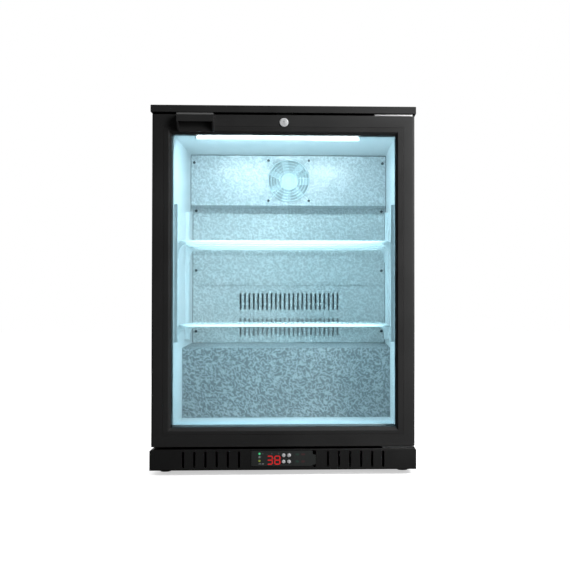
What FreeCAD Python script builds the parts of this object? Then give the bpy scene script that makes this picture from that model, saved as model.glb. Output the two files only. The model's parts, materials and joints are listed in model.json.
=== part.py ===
"""Undercounter glass-door refrigerator, as one STEP file per physical piece.

Frame: millimetres, +Z up, origin on the floor under the middle of the footprint.
+X is to the right when facing the door, and the door is on the -Y side.
"""

import FreeCAD, Part
import math
import os

V = FreeCAD.Vector
X_AXIS = V(1, 0, 0)
Y_AXIS = V(0, 1, 0)
Z_AXIS = V(0, 0, 1)

# Overall size
WIDTH = 600.0
DEPTH = 520.0
HEIGHT = 835.0
REAR = DEPTH / 2
HALF_WIDTH = WIDTH / 2

# Planes from front to back
HANDLE_REACH = 25.0
DOOR_FACE = -DEPTH / 2 + HANDLE_REACH
DOOR_THICKNESS = 40.0
DOOR_BACK = DOOR_FACE + DOOR_THICKNESS
SEAL_GAP = 5.0
BODY_FRONT = DOOR_BACK + SEAL_GAP

# Heights of the main bands
FLOOR_GAP = 12.0
PLINTH_TOP = 59.0
BODY_BOTTOM = 63.0
DOOR_BOTTOM = 65.0
DOOR_TOP = 813.5
BODY_TOP = 814.0
FASCIA_BOTTOM = 819.0

# Cabinet shell
BODY_HALF = 296.5
SHEET = 1.0
FLANGE = 10.0
COMPARTMENT_FRONT = 8.0
COMPARTMENT_TOP = 241.0

# Storage cavity
CAVITY_HALF = 254.0
CAVITY_FLOOR = 108.5
CAVITY_TOP = 774.0
LINER_FRONT = BODY_FRONT + 5.0
LINER_REAR = 220.0
STEP_FRONT = -30.0
STEP_HEIGHT = 279.0
STEP_SLOPE = 0.024
SILL_DEPTH = 66.0
SILL_THICKNESS = 1.5

# Panels in front of the evaporator
PANEL_HALF = 253.5
PANEL_FRONT = 180.0
PANEL_SHEET = 1.5
FAN_BOX_FRONT = 133.0
FAN_BOX_BOTTOM = 642.7
FAN_FLANGE_TOP = 638.0
FAN_FLANGE_BOTTOM = 625.6
PANEL_SEAM = 434.4
AIR_SLOT_COUNT = 23
AIR_SLOT_PITCH = 11.64
AIR_SLOT_WIDTH = 5.0
AIR_SLOT_ROWS = ((302.0, 348.3), (370.5, 415.8))
RAIL_SHEET = 1.5
SCREW_X = 245.0
SCREW_ROWS = ((FAN_BOX_FRONT, 753.8), (PANEL_FRONT, 632.0), (PANEL_FRONT, 474.5), (PANEL_FRONT, 314.0))
SCREW_HEAD = 3.6
SCREW_SHANK = 1.6
SCREW_HOLE = 1.9
SCREW_LENGTH = 8.0

# Evaporator fan
FAN_Z = 707.5
FAN_HALF = 59.5
FAN_DEPTH = 37.0
FAN_BORE = 56.0
FAN_OPENING = 55.0
FAN_HOLE_PITCH = 52.4
FAN_HUB = 22.0
FAN_BLADE_TIP = 53.5
FAN_BLADES = 7
FAN_SHAFT = 2.0
SHAFT_CLEARANCE = 0.05
GUARD_RINGS = 7
GUARD_RING_PITCH = 7.35
GUARD_FIRST_RING = 9.0
GUARD_WIRE = 1.1

# Coils
EVAPORATOR_Y = 200.0
EVAPORATOR_FLOOR = 386.0
CONDENSER_Y = 40.0
CONDENSER_FLOOR = 40.0
COIL_TUBE = 4.8
COIL_HOLE = 5.0
FIN_SHEET = 0.5

# Shelves and their supports
SHELF_HALF = 244.5
SHELF_FRONT = -178.0
SHELF_REAR = 165.0
SHELF_WIRE = 2.8
SHELF_ROD = 1.2
SHELF_ROD_PITCH = 13.6
SHELF_ROD_SIDE_COUNT = 17
SHELF_CROSS_WIRES = 3
SHELF_CORNER = 12.0
UPPER_SUPPORT = 527.0
LOWER_SUPPORT = 333.0
PILASTER_FACE = 246.0
PILASTER_WIDTH = 22.0
PILASTER_SHEET = 1.2
PILASTER_BOTTOM = 298.0
PILASTER_TOP = 616.0
PILASTER_STARTS = (-183.0, 30.0)
PILASTER_SLOT_PITCH = (UPPER_SUPPORT - LOWER_SUPPORT) / 8
PILASTER_SLOT_COUNT = 13
PILASTER_SLOT_HEIGHT = 9.5
PILASTER_SLOT_WIDTH = 5.0
CLIP_REACH = 20.0
CLIP_DROP = 36.0
CLIP_SHEET = 2.0

# Interior light
LIGHT_LEFT = -202.0
LIGHT_RIGHT = 171.0
LIGHT_Y = -178.0
LIGHT_RADIUS = 6.5
LIGHT_BASE_BOTTOM = 771.5

# Door
BEZEL_OUTER = (270.5, 92.2, 787.0)
BEZEL_INNER = (252.8, 107.2, 769.2)
SIGHT_LINE = (254.2, 106.0, 771.2)
BEZEL_BEVEL = 6.0
BEZEL_BEVEL_HEIGHT = 7.0
BEZEL_DEPTH = 8.0
BEZEL_GROOVE = 0.3
DOOR_WALL = 3.0
DOOR_EDGE_RADIUS = 4.0
BACKING = 2.0
PANE_HALF = 262.0
PANE_BOTTOM = 98.0
PANE_TOP = 779.5
PANE = 4.0
PANE_GAP = 12.0
GASKET_OUTER = (279.0, 86.0, 789.5)
GASKET_WIDTH = 13.0
GASKET_CLEARANCE = 0.3

# Hinges
PIN_X = 284.3
PIN_Y = -213.0
PIN_RADIUS = 4.0
BUSH_RADIUS = 6.0
BOSS_RADIUS = 9.0
HINGE_PLATE_LEFT = 204.0
HINGE_PLATE_RIGHT = 293.5
HINGE_PLATE_Z = (814.0, 817.5)
BRACKET_LEFT = 222.0
BRACKET_Z = (60.0, 63.0)
TOP_HINGE_SCREWS = ((222.0, -162.0), (274.0, -162.0), (248.0, -150.0))
BOTTOM_HINGE_SCREWS = ((238.0, -138.0), (280.0, -138.0))
HINGE_SCREW_HEAD = 4.8
HINGE_SCREW_SHANK = 2.4
HINGE_SCREW_HOLE = 2.7

# Handle
HANDLE_LEFT = -239.0
HANDLE_RIGHT = -157.0
HANDLE_BOTTOM = 774.0
HANDLE_WALL = 3.5
HANDLE_BROW = 4.6
HANDLE_LIP = 20.0
HANDLE_CORNER = 8.0

# Lock
LOCK_Z = 796.8
LOCK_FLANGE = 10.0
LOCK_BARREL = 8.0
LOCK_BARREL_HOLE = 8.2
LOCK_PLUG = 6.0
CAM_LENGTH = 26.0
CAM_HALF_WIDTH = 5.5
CAM_Y = (DOOR_BACK + 0.6, DOOR_BACK + 3.1)

# Plinth and controller
PLINTH_FACE = DOOR_FACE + 1.0
PLINTH_REAR = -150.0
PLINTH_WALL = 3.0
PLINTH_CHAMFER = 3.5
PLINTH_SLOT_XS = (100.0, 125.0, 150.0, 175.0, 200.0, 225.0)
PLINTH_SLOT_WIDTH = 5.0
PLINTH_SLOT_Z = (17.0, 54.0)
CONTROLLER_X = (-72.3, 65.6)
CONTROLLER_Z = (20.8, 55.4)
CONTROLLER_FACE = PLINTH_FACE - 1.2
CONTROLLER_SPLIT = 21.3
CONTROLLER_TAB = 7.0
BUTTON_RADIUS = 4.35
BUTTON_HOLE = 4.6
BUTTON_COLUMNS = (0.0, 12.2)
BUTTON_ROWS = (45.0, 30.8)
BUTTON_NAMES = (("button_set", "button_up"), ("button_light", "button_down"))
DIGIT_LEFT = (-37.5, -20.6)
DIGIT_BOTTOM = 24.2
DIGIT_SIZE = (13.6, 20.4)
DIGIT_STROKE = 2.4
SEGMENTS_OF = {"3": "abcdg", "8": "abcdefg"}
DIGITS_SHOWN = "38"
INDICATOR_X = -54.0
INDICATOR_ZS = (48.8, 41.4, 32.8)
INDICATOR_RADIUS = 2.5

# Feet
FOOT_X = 274.0
FOOT_YS = (-160.0, 225.0)
FOOT_NAMES = ("foot_front_left", "foot_rear_left", "foot_front_right", "foot_rear_right")
FOOT_RADIUS = 13.0
FOOT_HEIGHT = 9.0
STEM_RADIUS = 5.0
STEM_TOP = 46.0
NUT_RADIUS = 9.0
NUT_HEIGHT = 10.0

# Machine compartment
COMPRESSOR_X = -140.0
COMPRESSOR_Y = 140.0
COMPRESSOR_RADIUS = 72.0
COMPRESSOR_WALL = 4.0
COMPRESSOR_BEND = 26.0
COMPRESSOR_FEET_Z = 28.0
COMPRESSOR_TOP = 182.0
SUCTION_Z = 96.0
DISCHARGE_Z = 100.0
GROMMET_RADIUS = 11.0
BLOWER_X = 140.0
BLOWER_Z = 120.0
BLOWER_OPENING = 88.0
MOTOR_NOSE = 12.0
PIPE_PASSAGE = (-238.0, 200.0)
PIPE_PASSAGE_RADIUS = 12.0
SUCTION_PIPE = 4.8
LIQUID_PIPE = 2.0
DISCHARGE_PIPE = 3.2
DRIER_X = (20.0, 110.0)
DRIER_Y = 100.0
DRIER_Z = 25.0
GRILLE_ROWS = 9
GRILLE_COLUMNS = 4


# ---------------------------------------------------------------- helpers


def block(x, y, z):
    """Box between three pairs of limits."""
    return Part.makeBox(x[1] - x[0], y[1] - y[0], z[1] - z[0], V(x[0], y[0], z[0]))


def both(limit):
    """The pair of limits that is symmetric about zero."""
    return (-limit, limit)


def rod(radius, start, end):
    """Round bar from one point to another."""
    start, end = V(*start), V(*end)
    return Part.makeCylinder(radius, (end - start).Length, start, end - start)


def fused(shapes):
    """One solid from pieces that touch or overlap."""
    return shapes[0].multiFuse(shapes[1:]).removeSplitter()


def group(shapes):
    """Separate solids kept together in one node."""
    return Part.makeCompound([solid for shape in shapes for solid in shape.Solids])


def mirrored(shape):
    """The shape's twin on the other side of the middle plane."""
    return shape.mirror(V(0, 0, 0), X_AXIS)


def prism(points, direction):
    """Closed outline of straight sides, pushed along a direction."""
    return Part.Face(Part.makePolygon(points + [points[0]])).extrude(direction)


def prism_yz(points, x):
    """Outline of (y, z) points between two values of x."""
    return prism([V(x[0], py, pz) for py, pz in points], V(x[1] - x[0], 0, 0))


def prism_xz(points, y):
    """Outline of (x, z) points between two values of y."""
    return prism([V(px, y[0], pz) for px, pz in points], V(0, y[1] - y[0], 0))


def edges_along(shape, axis):
    """Straight edges that run parallel to an axis."""
    return [
        edge
        for edge in shape.Edges
        if isinstance(edge.Curve, Part.Line) and abs(edge.Curve.Direction.dot(axis)) > 0.999
    ]


def rounded(x, y, z, radius, axis):
    """Box whose four edges along one axis are rounded."""
    shape = block(x, y, z)
    return shape.makeFillet(radius, edges_along(shape, axis))


def ring(outer, inner, y):
    """Rectangular ring facing the front; each rectangle is (half width, bottom, top)."""
    hole = block(both(inner[0]), (y[0] - 1, y[1] + 1), inner[1:])
    return block(both(outer[0]), y, outer[1:]).cut(hole)


def grown(rectangle, amount):
    """A (half width, bottom, top) rectangle with every side moved outwards."""
    half, bottom, top = rectangle
    return (half + amount, bottom - amount, top + amount)


def obround(x, y, z, width):
    """Upright slot with round ends, centred on x and running through y."""
    radius = width / 2
    straight = block((x - radius, x + radius), y, (z[0] + radius, z[1] - radius))
    ends = [rod(radius, (x, y[0], end), (x, y[1], end)) for end in (z[0] + radius, z[1] - radius)]
    return fused([straight] + ends)


def bent_bar(points, radius, bend, closed=False):
    """Round bar along straight runs that are joined by bends."""
    points = [V(*p) for p in points]
    count = len(points)
    corners = range(count) if closed else range(1, count - 1)
    pieces, starts, ends = [], {}, {}
    for i in corners:
        into = (points[i] - points[i - 1]).normalize()
        away = (points[(i + 1) % count] - points[i]).normalize()
        turn = into.getAngle(away)
        setback = bend * math.tan(turn / 2)
        starts[i] = points[i] - into * setback
        ends[i] = points[i] + away * setback
        axis = into.cross(away).normalize()
        centre = starts[i] + axis.cross(into) * bend
        section = Part.Face(Part.Wire(Part.makeCircle(radius, starts[i], into)))
        pieces.append(section.revolve(centre, axis, math.degrees(turn)))
    for i in range(count if closed else count - 1):
        following = (i + 1) % count
        start = ends.get(i, points[i])
        end = starts.get(following, points[following])
        if (end - start).Length > 0.01:
            pieces.append(Part.makeCylinder(radius, (end - start).Length, start, end - start))
    return fused(pieces)


def step_top(y):
    """Height of the compressor step's sloping top at a depth y."""
    return STEP_HEIGHT + STEP_SLOPE * (y - STEP_FRONT)


def hinge_screw_holes(places, z):
    """Cutters for one hinge's screws, through one band of heights."""
    return [rod(HINGE_SCREW_HOLE, (x, y, z[0]), (x, y, z[1])) for x, y in places]


def pipe_passage(z):
    """Cutter for the passage of the refrigerant pipes up to the evaporator."""
    x, y = PIPE_PASSAGE
    return rod(PIPE_PASSAGE_RADIUS, (x, y, z[0]), (x, y, z[1]))


def panel_screws():
    """(x, y, z) of each panel screw, with y on the face its head sits on."""
    return [(side * SCREW_X, y, z) for y, z in SCREW_ROWS for side in (-1, 1)]


def panel_screw_holes():
    """Cutters for the panel screws."""
    return [rod(SCREW_HOLE, (x, y - 1, z), (x, y + SCREW_LENGTH, z)) for x, y, z in panel_screws()]


def fan_screw_places():
    """(x, z) of the fan's four corner screws."""
    offsets = both(FAN_HOLE_PITCH)
    return [(dx, FAN_Z + dz) for dx in offsets for dz in offsets]


# ---------------------------------------------------------------- cabinet


def outer_cabinet():
    """Folded and welded steel body: sides, top, front flanges and the machine compartment's roof."""
    wide = both(BODY_HALF)
    rear = REAR - SHEET
    side = block((BODY_HALF - SHEET, BODY_HALF), (BODY_FRONT, rear), (FLOOR_GAP + 2, BODY_TOP))
    side_flange = block(
        (BODY_HALF - FLANGE, BODY_HALF), (BODY_FRONT, BODY_FRONT + SHEET), (BODY_BOTTOM, BODY_TOP)
    )
    flange_y = (BODY_FRONT, BODY_FRONT + SHEET)
    sheets = [
        side,
        mirrored(side),
        side_flange,
        mirrored(side_flange),
        block(wide, (BODY_FRONT, rear), (BODY_TOP - SHEET, BODY_TOP)),
        block(wide, flange_y, (BODY_TOP - FLANGE, BODY_TOP)),
        block(wide, flange_y, (BODY_BOTTOM, BODY_BOTTOM + FLANGE)),
        block(wide, (BODY_FRONT, COMPARTMENT_FRONT + SHEET), (BODY_BOTTOM, BODY_BOTTOM + SHEET)),
        block(wide, (COMPARTMENT_FRONT, COMPARTMENT_FRONT + SHEET), (BODY_BOTTOM, COMPARTMENT_TOP)),
        block(wide, (COMPARTMENT_FRONT, rear), (COMPARTMENT_TOP - SHEET, COMPARTMENT_TOP)),
    ]
    cutters = hinge_screw_holes(TOP_HINGE_SCREWS, (BODY_TOP - 5, BODY_TOP + 1))
    cutters += hinge_screw_holes(BOTTOM_HINGE_SCREWS, (BODY_BOTTOM - 1, BODY_BOTTOM + 5))
    cutters.append(pipe_passage((COMPARTMENT_TOP - 5, COMPARTMENT_TOP + 5)))
    return fused(sheets).cut(cutters)


def worktop_lid():
    """Moulded top with a deep front fascia, skirts that wrap the body's sides and ribs underneath."""
    wall = 3.0
    top_plate = 2.5
    fascia_face = DOOR_FACE - 1.0
    chamfered = [
        (-HALF_WIDTH, HEIGHT),
        (HALF_WIDTH, HEIGHT),
        (HALF_WIDTH, BODY_TOP + 3.5),
        (BODY_HALF + 0.2, BODY_TOP),
        (-BODY_HALF - 0.2, BODY_TOP),
        (-HALF_WIDTH, BODY_TOP + 3.5),
    ]
    outside = prism_xz(chamfered, (fascia_face, REAR))
    outside = outside.makeFillet(1.5, [e for e in outside.Edges if e.BoundBox.ZMin > HEIGHT - 0.1])
    inside = block(
        both(HALF_WIDTH - wall), (fascia_face + wall, REAR - wall), (BODY_TOP, HEIGHT - top_plate)
    )
    over_door = block(both(WIDTH), (fascia_face - 1, BODY_FRONT - 1), (BODY_TOP - 1, FASCIA_BOTTOM))
    shell = outside.cut([inside, over_door])
    ribs = [
        block((x - 1.5, x + 1.5), (BODY_FRONT + 60, REAR - wall), (BODY_TOP, HEIGHT - top_plate))
        for x in (-200.0, -100.0, 0.0, 100.0, 200.0)
    ]
    cross_rib = block(both(HALF_WIDTH - wall), (60.0, 63.0), (BODY_TOP, HEIGHT - top_plate))
    return fused([shell, cross_rib] + ribs)


def rear_panel():
    """Flat steel back over the insulation."""
    return block(both(BODY_HALF), (REAR - SHEET, REAR), (COMPARTMENT_TOP, BODY_TOP - 0.2))


def rear_grille():
    """Louvred cover over the machine compartment, with an opening for the power inlet."""
    plate = block(both(BODY_HALF), (REAR - SHEET, REAR), (FLOOR_GAP + 4, COMPARTMENT_TOP - 0.3))
    cutters = []
    for row in range(GRILLE_ROWS):
        for column in range(GRILLE_COLUMNS):
            x = (column - (GRILLE_COLUMNS - 1) / 2) * 112.0
            z = 80.0 + row * 16.0
            slot = rounded((x - 46, x + 46), (REAR - 3, REAR + 1), (z, z + 6), 2.9, Y_AXIS)
            cutters.append(slot)
    cutters.append(block((214.0, 242.0), (REAR - 3, REAR + 1), (34.0, 54.0)))
    return plate.cut(cutters)


def step_prism(front, rear, drop):
    """Solid under the step's sloping top, lowered by a drop and running back from its riser."""
    outline = [(front, 0), (front, step_top(front) - drop), (rear, step_top(rear) - drop), (rear, 0)]
    return prism_yz(outline, both(WIDTH))


def liner_block(front, rear):
    """Solid with the liner's outside shape, stepped over the machine compartment."""
    whole = block(both(CAVITY_HALF + SHEET), (front, rear), (CAVITY_FLOOR - SHEET, CAVITY_TOP + SHEET))
    return whole.cut(step_prism(STEP_FRONT + 2 * SHEET, rear + 1, 2 * SHEET))


def inner_liner():
    """One-piece lining of the cavity: walls, ceiling, floor, rear and the step over the compressor."""
    cavity = block(both(CAVITY_HALF), (LINER_FRONT - 1, LINER_REAR), (CAVITY_FLOOR, CAVITY_TOP))
    cavity = cavity.cut(step_prism(STEP_FRONT + SHEET, LINER_REAR + 1, SHEET))
    passage = pipe_passage((COMPARTMENT_TOP, STEP_HEIGHT + 20))
    return liner_block(LINER_FRONT, LINER_REAR + SHEET).cut([cavity, passage])


def insulation_foam():
    """Foam that fills the space between the steel body and the liner."""
    half = BODY_HALF - SHEET
    whole = block(both(half), (LINER_FRONT, REAR - SHEET), (BODY_BOTTOM + SHEET, BODY_TOP - SHEET))
    cutters = [
        liner_block(LINER_FRONT - 1, LINER_REAR + SHEET),
        block(both(WIDTH), (COMPARTMENT_FRONT, REAR), (0, COMPARTMENT_TOP)),
        pipe_passage((COMPARTMENT_TOP - 5, STEP_HEIGHT + 20)),
    ]
    cutters += hinge_screw_holes(TOP_HINGE_SCREWS, (BODY_TOP - 16, BODY_TOP))
    cutters += hinge_screw_holes(BOTTOM_HINGE_SCREWS, (BODY_BOTTOM, BODY_BOTTOM + 14))
    return whole.cut(cutters)


def breaker_strip():
    """Plastic frame round the cavity's mouth, with a sill over the front of the floor."""
    outer = (BODY_HALF - FLANGE, BODY_BOTTOM + FLANGE, BODY_TOP - FLANGE)
    mouth = (CAVITY_HALF, CAVITY_FLOOR, CAVITY_TOP)
    frame = ring(outer, mouth, (BODY_FRONT, LINER_FRONT))
    sill_y = (BODY_FRONT, BODY_FRONT + SILL_DEPTH)
    sill = block(both(CAVITY_HALF), sill_y, (CAVITY_FLOOR, CAVITY_FLOOR + SILL_THICKNESS))
    return fused([frame, sill])


def step_cover():
    """Embossed sheet folded over the front and top of the compressor step."""
    rear = PANEL_FRONT - 0.3
    outline = [
        (STEP_FRONT, CAVITY_FLOOR + 0.2),
        (STEP_FRONT, STEP_HEIGHT),
        (rear, step_top(rear)),
        (rear, step_top(rear) - SHEET),
        (STEP_FRONT + SHEET, step_top(STEP_FRONT + SHEET) - SHEET),
        (STEP_FRONT + SHEET, CAVITY_FLOOR + 0.2),
    ]
    return prism_yz(outline, both(PANEL_HALF))


def evaporator_fan_cover():
    """Folded sheet that boxes in the evaporator fan and ends in a flange on the panel below."""
    front, back = FAN_BOX_FRONT, PANEL_FRONT
    top = CAVITY_TOP - 0.3
    outline = [
        (front, top),
        (front, FAN_BOX_BOTTOM),
        (back, FAN_FLANGE_TOP),
        (back, FAN_FLANGE_BOTTOM),
        (back + PANEL_SHEET, FAN_FLANGE_BOTTOM),
        (back + PANEL_SHEET, FAN_FLANGE_TOP + PANEL_SHEET),
        (front + PANEL_SHEET, FAN_BOX_BOTTOM + PANEL_SHEET),
        (front + PANEL_SHEET, top - PANEL_SHEET),
        (front + 16, top - PANEL_SHEET),
        (front + 16, top),
    ]
    sheet = prism_yz(outline, both(PANEL_HALF))
    opening = rod(FAN_OPENING, (0, front - 1, FAN_Z), (0, front + 5, FAN_Z))
    corners = [rod(2.2, (x, front - 1, z), (x, front + 5, z)) for x, z in fan_screw_places()]
    return sheet.cut([opening] + corners + panel_screw_holes())


def rear_duct_panel():
    """Flat embossed sheet in front of the evaporator."""
    sheet = block(
        both(PANEL_HALF),
        (PANEL_FRONT, PANEL_FRONT + PANEL_SHEET),
        (PANEL_SEAM + 0.3, FAN_FLANGE_BOTTOM - 0.3),
    )
    return sheet.cut(panel_screw_holes())


def return_air_panel():
    """Embossed sheet with two rows of upright slots where the air returns."""
    bottom = step_top(PANEL_FRONT) + 0.3
    span = (PANEL_FRONT, PANEL_FRONT + PANEL_SHEET)
    sheet = block(both(PANEL_HALF), span, (bottom, PANEL_SEAM - 0.3))
    through = (span[0] - 1, span[1] + 1)
    cutters = panel_screw_holes()
    for row in AIR_SLOT_ROWS:
        for i in range(AIR_SLOT_COUNT):
            x = (i - (AIR_SLOT_COUNT - 1) / 2) * AIR_SLOT_PITCH
            cutters.append(obround(x, through, row, AIR_SLOT_WIDTH))
    return sheet.cut(cutters)


def panel_rails():
    """Four angle rails on the liner's walls that the panels screw to."""
    rails = []
    for front, z in ((PANEL_FRONT, (290.0, 637.0)), (FAN_BOX_FRONT, (700.0, 771.0))):
        start = front + PANEL_SHEET
        face = block((SCREW_X - 6, CAVITY_HALF), (start, start + RAIL_SHEET), z)
        wing = block((CAVITY_HALF - RAIL_SHEET, CAVITY_HALF), (start, start + 14), z)
        rail = fused([face, wing])
        rails += [rail, mirrored(rail)]
    return group([rail.cut(panel_screw_holes()) for rail in rails])


def pan_head_screw(x, y, z, length):
    """Cross-recessed screw whose head sits on the plane y and whose shank points to the rear."""
    low = rod(SCREW_HEAD, (x, y - 1.0, z), (x, y, z))
    crown = Part.makeCone(SCREW_HEAD, SCREW_HEAD - 1.4, 1.1, V(x, y - 1.0, z), V(0, -1, 0))
    shank = rod(SCREW_SHANK, (x, y, z), (x, y + length, z))
    recess = [
        block((x - 1.7, x + 1.7), (y - 3, y - 1.2), (z - 0.35, z + 0.35)),
        block((x - 0.35, x + 0.35), (y - 3, y - 1.2), (z - 1.7, z + 1.7)),
    ]
    return fused([low, crown, shank]).cut(recess)


def fan_guard():
    """White wire guard: rings on diagonal wires that end in screw eyes."""
    wire = GUARD_WIRE
    eye_y = FAN_BOX_FRONT - wire
    spoke_y = FAN_BOX_FRONT - 4.0
    ring_y = spoke_y - 1.8 * wire
    eye_radius = 3.4
    pieces = []
    for i in range(GUARD_RINGS):
        radius = GUARD_FIRST_RING + i * GUARD_RING_PITCH
        pieces.append(Part.makeTorus(radius, wire, V(0, ring_y, FAN_Z), Y_AXIS))
    for x, z in fan_screw_places():
        across, up = math.copysign(math.sqrt(0.5), x), math.copysign(math.sqrt(0.5), z - FAN_Z)
        reach = FAN_HOLE_PITCH * math.sqrt(2)
        path = [(GUARD_FIRST_RING - 2, spoke_y), (58.0, spoke_y), (64.0, eye_y)]
        path.append((reach - eye_radius, eye_y))
        points = [(r * across, y, FAN_Z + r * up) for r, y in path]
        pieces.append(bent_bar(points, wire, 3.0))
        pieces.append(Part.makeTorus(eye_radius, wire, V(x, eye_y, z), Y_AXIS))
    return fused(pieces)


def evaporator_fan_frame():
    """Square fan body with a round duct, corner holes and a motor cup on three arms."""
    front = FAN_BOX_FRONT + PANEL_SHEET
    rear = front + FAN_DEPTH
    centre = (FAN_Z - FAN_HALF, FAN_Z + FAN_HALF)
    body = rounded(both(FAN_HALF), (front, rear), centre, 5.0, Y_AXIS)
    duct = rod(FAN_BORE, (0, front - 1, FAN_Z), (0, rear + 1, FAN_Z))
    corners = [rod(2.2, (x, front - 1, z), (x, rear + 1, z)) for x, z in fan_screw_places()]
    body = body.cut([duct] + corners)
    cup = rod(FAN_HUB, (0, rear - 11, FAN_Z), (0, rear, FAN_Z))
    arm = block((FAN_HUB - 3, FAN_BORE + 1), (rear - 5, rear), (FAN_Z - 3.5, FAN_Z + 3.5))
    arms = [arm.rotated(V(0, 0, FAN_Z), Y_AXIS, angle) for angle in (90, 210, 330)]
    bearing = rod(FAN_SHAFT + SHAFT_CLEARANCE, (0, rear - 12, FAN_Z), (0, rear - 2, FAN_Z))
    return fused([body, cup] + arms).cut(bearing)


def blade_ring(centre, hub, tip, count, chord, thickness, pitch_angle):
    """Flat blades set at an angle round the hub of an axial fan that turns about Y."""
    cx, cy, cz = centre
    blades = []
    for i in range(count):
        blade = block((hub - 1.5, tip + 3), both(thickness / 2), both(chord / 2))
        blade = blade.rotated(V(0, 0, 0), X_AXIS, 90 - pitch_angle)
        blade = blade.rotated(V(0, 0, 0), Y_AXIS, 360.0 * i / count)
        blades.append(blade.translated(V(cx, cy, cz)))
    limit = rod(tip, (cx, cy - chord, cz), (cx, cy + chord, cz))
    return [blade.common(limit) for blade in blades]


def evaporator_fan_rotor():
    """Hub, blades and shaft of the evaporator fan."""
    front = FAN_BOX_FRONT + PANEL_SHEET + 2.0
    hub = rod(FAN_HUB, (0, front, FAN_Z), (0, front + 22, FAN_Z))
    hub = hub.makeFillet(2.5, [e for e in hub.Edges if e.BoundBox.YMax < front + 0.1])
    shaft = rod(FAN_SHAFT, (0, front + 20, FAN_Z), (0, front + 31, FAN_Z))
    blades = blade_ring((0, front + 11, FAN_Z), FAN_HUB, FAN_BLADE_TIP, FAN_BLADES, 24.0, 1.8, 38.0)
    return fused([hub, shaft] + blades)


def fin_pack(x, y, z, fin_pitch, tube_y, tube_zs):
    """Upright fins, each a separate plate with clearance holes for the tube."""
    fins = []
    count = int((x[1] - x[0]) / fin_pitch) + 1
    holes = [rod(COIL_HOLE, (x[0] - 5, tube_y, tz), (x[0] + 5, tube_y, tz)) for tz in tube_zs]
    fin = block((x[0], x[0] + FIN_SHEET), y, z).cut(holes)
    for i in range(count):
        fins.append(fin.translated(V(i * fin_pitch, 0, 0)))
    return fins


def serpentine(half_run, centre_x, y, zs):
    """Tube that runs back and forth at the given heights, starting and ending on the left."""
    left, right = centre_x - half_run, centre_x + half_run
    bend = (zs[1] - zs[0]) / 2 - 0.5
    points = [(left - 8, y, zs[0])]
    for i, z in enumerate(zs):
        turn_x = right + bend if i % 2 == 0 else left - bend
        if i < len(zs) - 1:
            points += [(turn_x, y, z), (turn_x, y, zs[i + 1])]
    points.append((left - 8, y, zs[-1]))
    return bent_bar(points, COIL_TUBE, bend)


def evaporator_tube_heights():
    """Heights of the evaporator's tube runs."""
    return [EVAPORATOR_FLOOR + 28.0 * i for i in range(8)]


def condenser_tube_heights():
    """Heights of the condenser's tube runs."""
    return [CONDENSER_FLOOR + 24.0 * i for i in range(8)]


def evaporator_coil():
    """Fins and serpentine tube of the evaporator."""
    zs = evaporator_tube_heights()
    y = (EVAPORATOR_Y - 14, EVAPORATOR_Y + 14)
    fins = fin_pack((-215.0, 215.5), y, (zs[0] - 14, zs[-1] + 14), 10.0, EVAPORATOR_Y, zs)
    return group(fins + [serpentine(222.0, 0.0, EVAPORATOR_Y, zs)])


def condenser_coil():
    """Fins and serpentine tube of the condenser."""
    zs = condenser_tube_heights()
    y = (CONDENSER_Y - 16, CONDENSER_Y + 16)
    fins = fin_pack((24.0, 256.5), y, (zs[0] - 12, zs[-1] + 12), 8.0, CONDENSER_Y, zs)
    return group(fins + [serpentine(122.0, BLOWER_X, CONDENSER_Y, zs)])


# ---------------------------------------------------------------- interior fittings


def light_bar(radius, start, end):
    """Lower half of a round bar that runs across under the ceiling."""
    bar = rod(radius, (start, LIGHT_Y, LIGHT_BASE_BOTTOM), (end, LIGHT_Y, LIGHT_BASE_BOTTOM))
    return bar.cut(block(both(WIDTH), both(WIDTH), (LIGHT_BASE_BOTTOM, HEIGHT)))


def light_housing():
    """Slim base of the light bar under the ceiling, with an end cap at each end."""
    cap = 4.0
    ends = (LIGHT_LEFT - cap, LIGHT_RIGHT + cap)
    base = block(ends, (LIGHT_Y - 7, LIGHT_Y + 7), (LIGHT_BASE_BOTTOM, CAVITY_TOP))
    caps = []
    for start, end in ((LIGHT_LEFT - cap, LIGHT_LEFT), (LIGHT_RIGHT, LIGHT_RIGHT + cap)):
        round_end = light_bar(LIGHT_RADIUS + 0.4, start, end)
        caps.append(round_end)
    return fused([base] + caps)


def light_diffuser():
    """Half-round milky lens of the light bar."""
    return light_bar(LIGHT_RADIUS, LIGHT_LEFT, LIGHT_RIGHT)


def pilaster(start_y):
    """Slotted channel on the right wall."""
    y = (start_y, start_y + PILASTER_WIDTH)
    z = (PILASTER_BOTTOM, PILASTER_TOP)
    web = block((PILASTER_FACE, PILASTER_FACE + PILASTER_SHEET), y, z)
    wings = [
        block((PILASTER_FACE, CAVITY_HALF), (y[0], y[0] + PILASTER_SHEET), z),
        block((PILASTER_FACE, CAVITY_HALF), (y[1] - PILASTER_SHEET, y[1]), z),
    ]
    middle = start_y + PILASTER_WIDTH / 2
    first = LOWER_SUPPORT - 5 - PILASTER_SLOT_PITCH
    slots = []
    for i in range(PILASTER_SLOT_COUNT):
        centre = first + i * PILASTER_SLOT_PITCH
        slots.append(
            block(
                (PILASTER_FACE - 1, PILASTER_FACE + 2),
                (middle - PILASTER_SLOT_WIDTH / 2, middle + PILASTER_SLOT_WIDTH / 2),
                (centre - PILASTER_SLOT_HEIGHT / 2, centre + PILASTER_SLOT_HEIGHT / 2),
            )
        )
    return fused([web] + wings).cut(slots)


def shelf_pilasters():
    """The four slotted channels that carry the shelf clips."""
    right = [pilaster(start) for start in PILASTER_STARTS]
    return group(right + [mirrored(shape) for shape in right])


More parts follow.
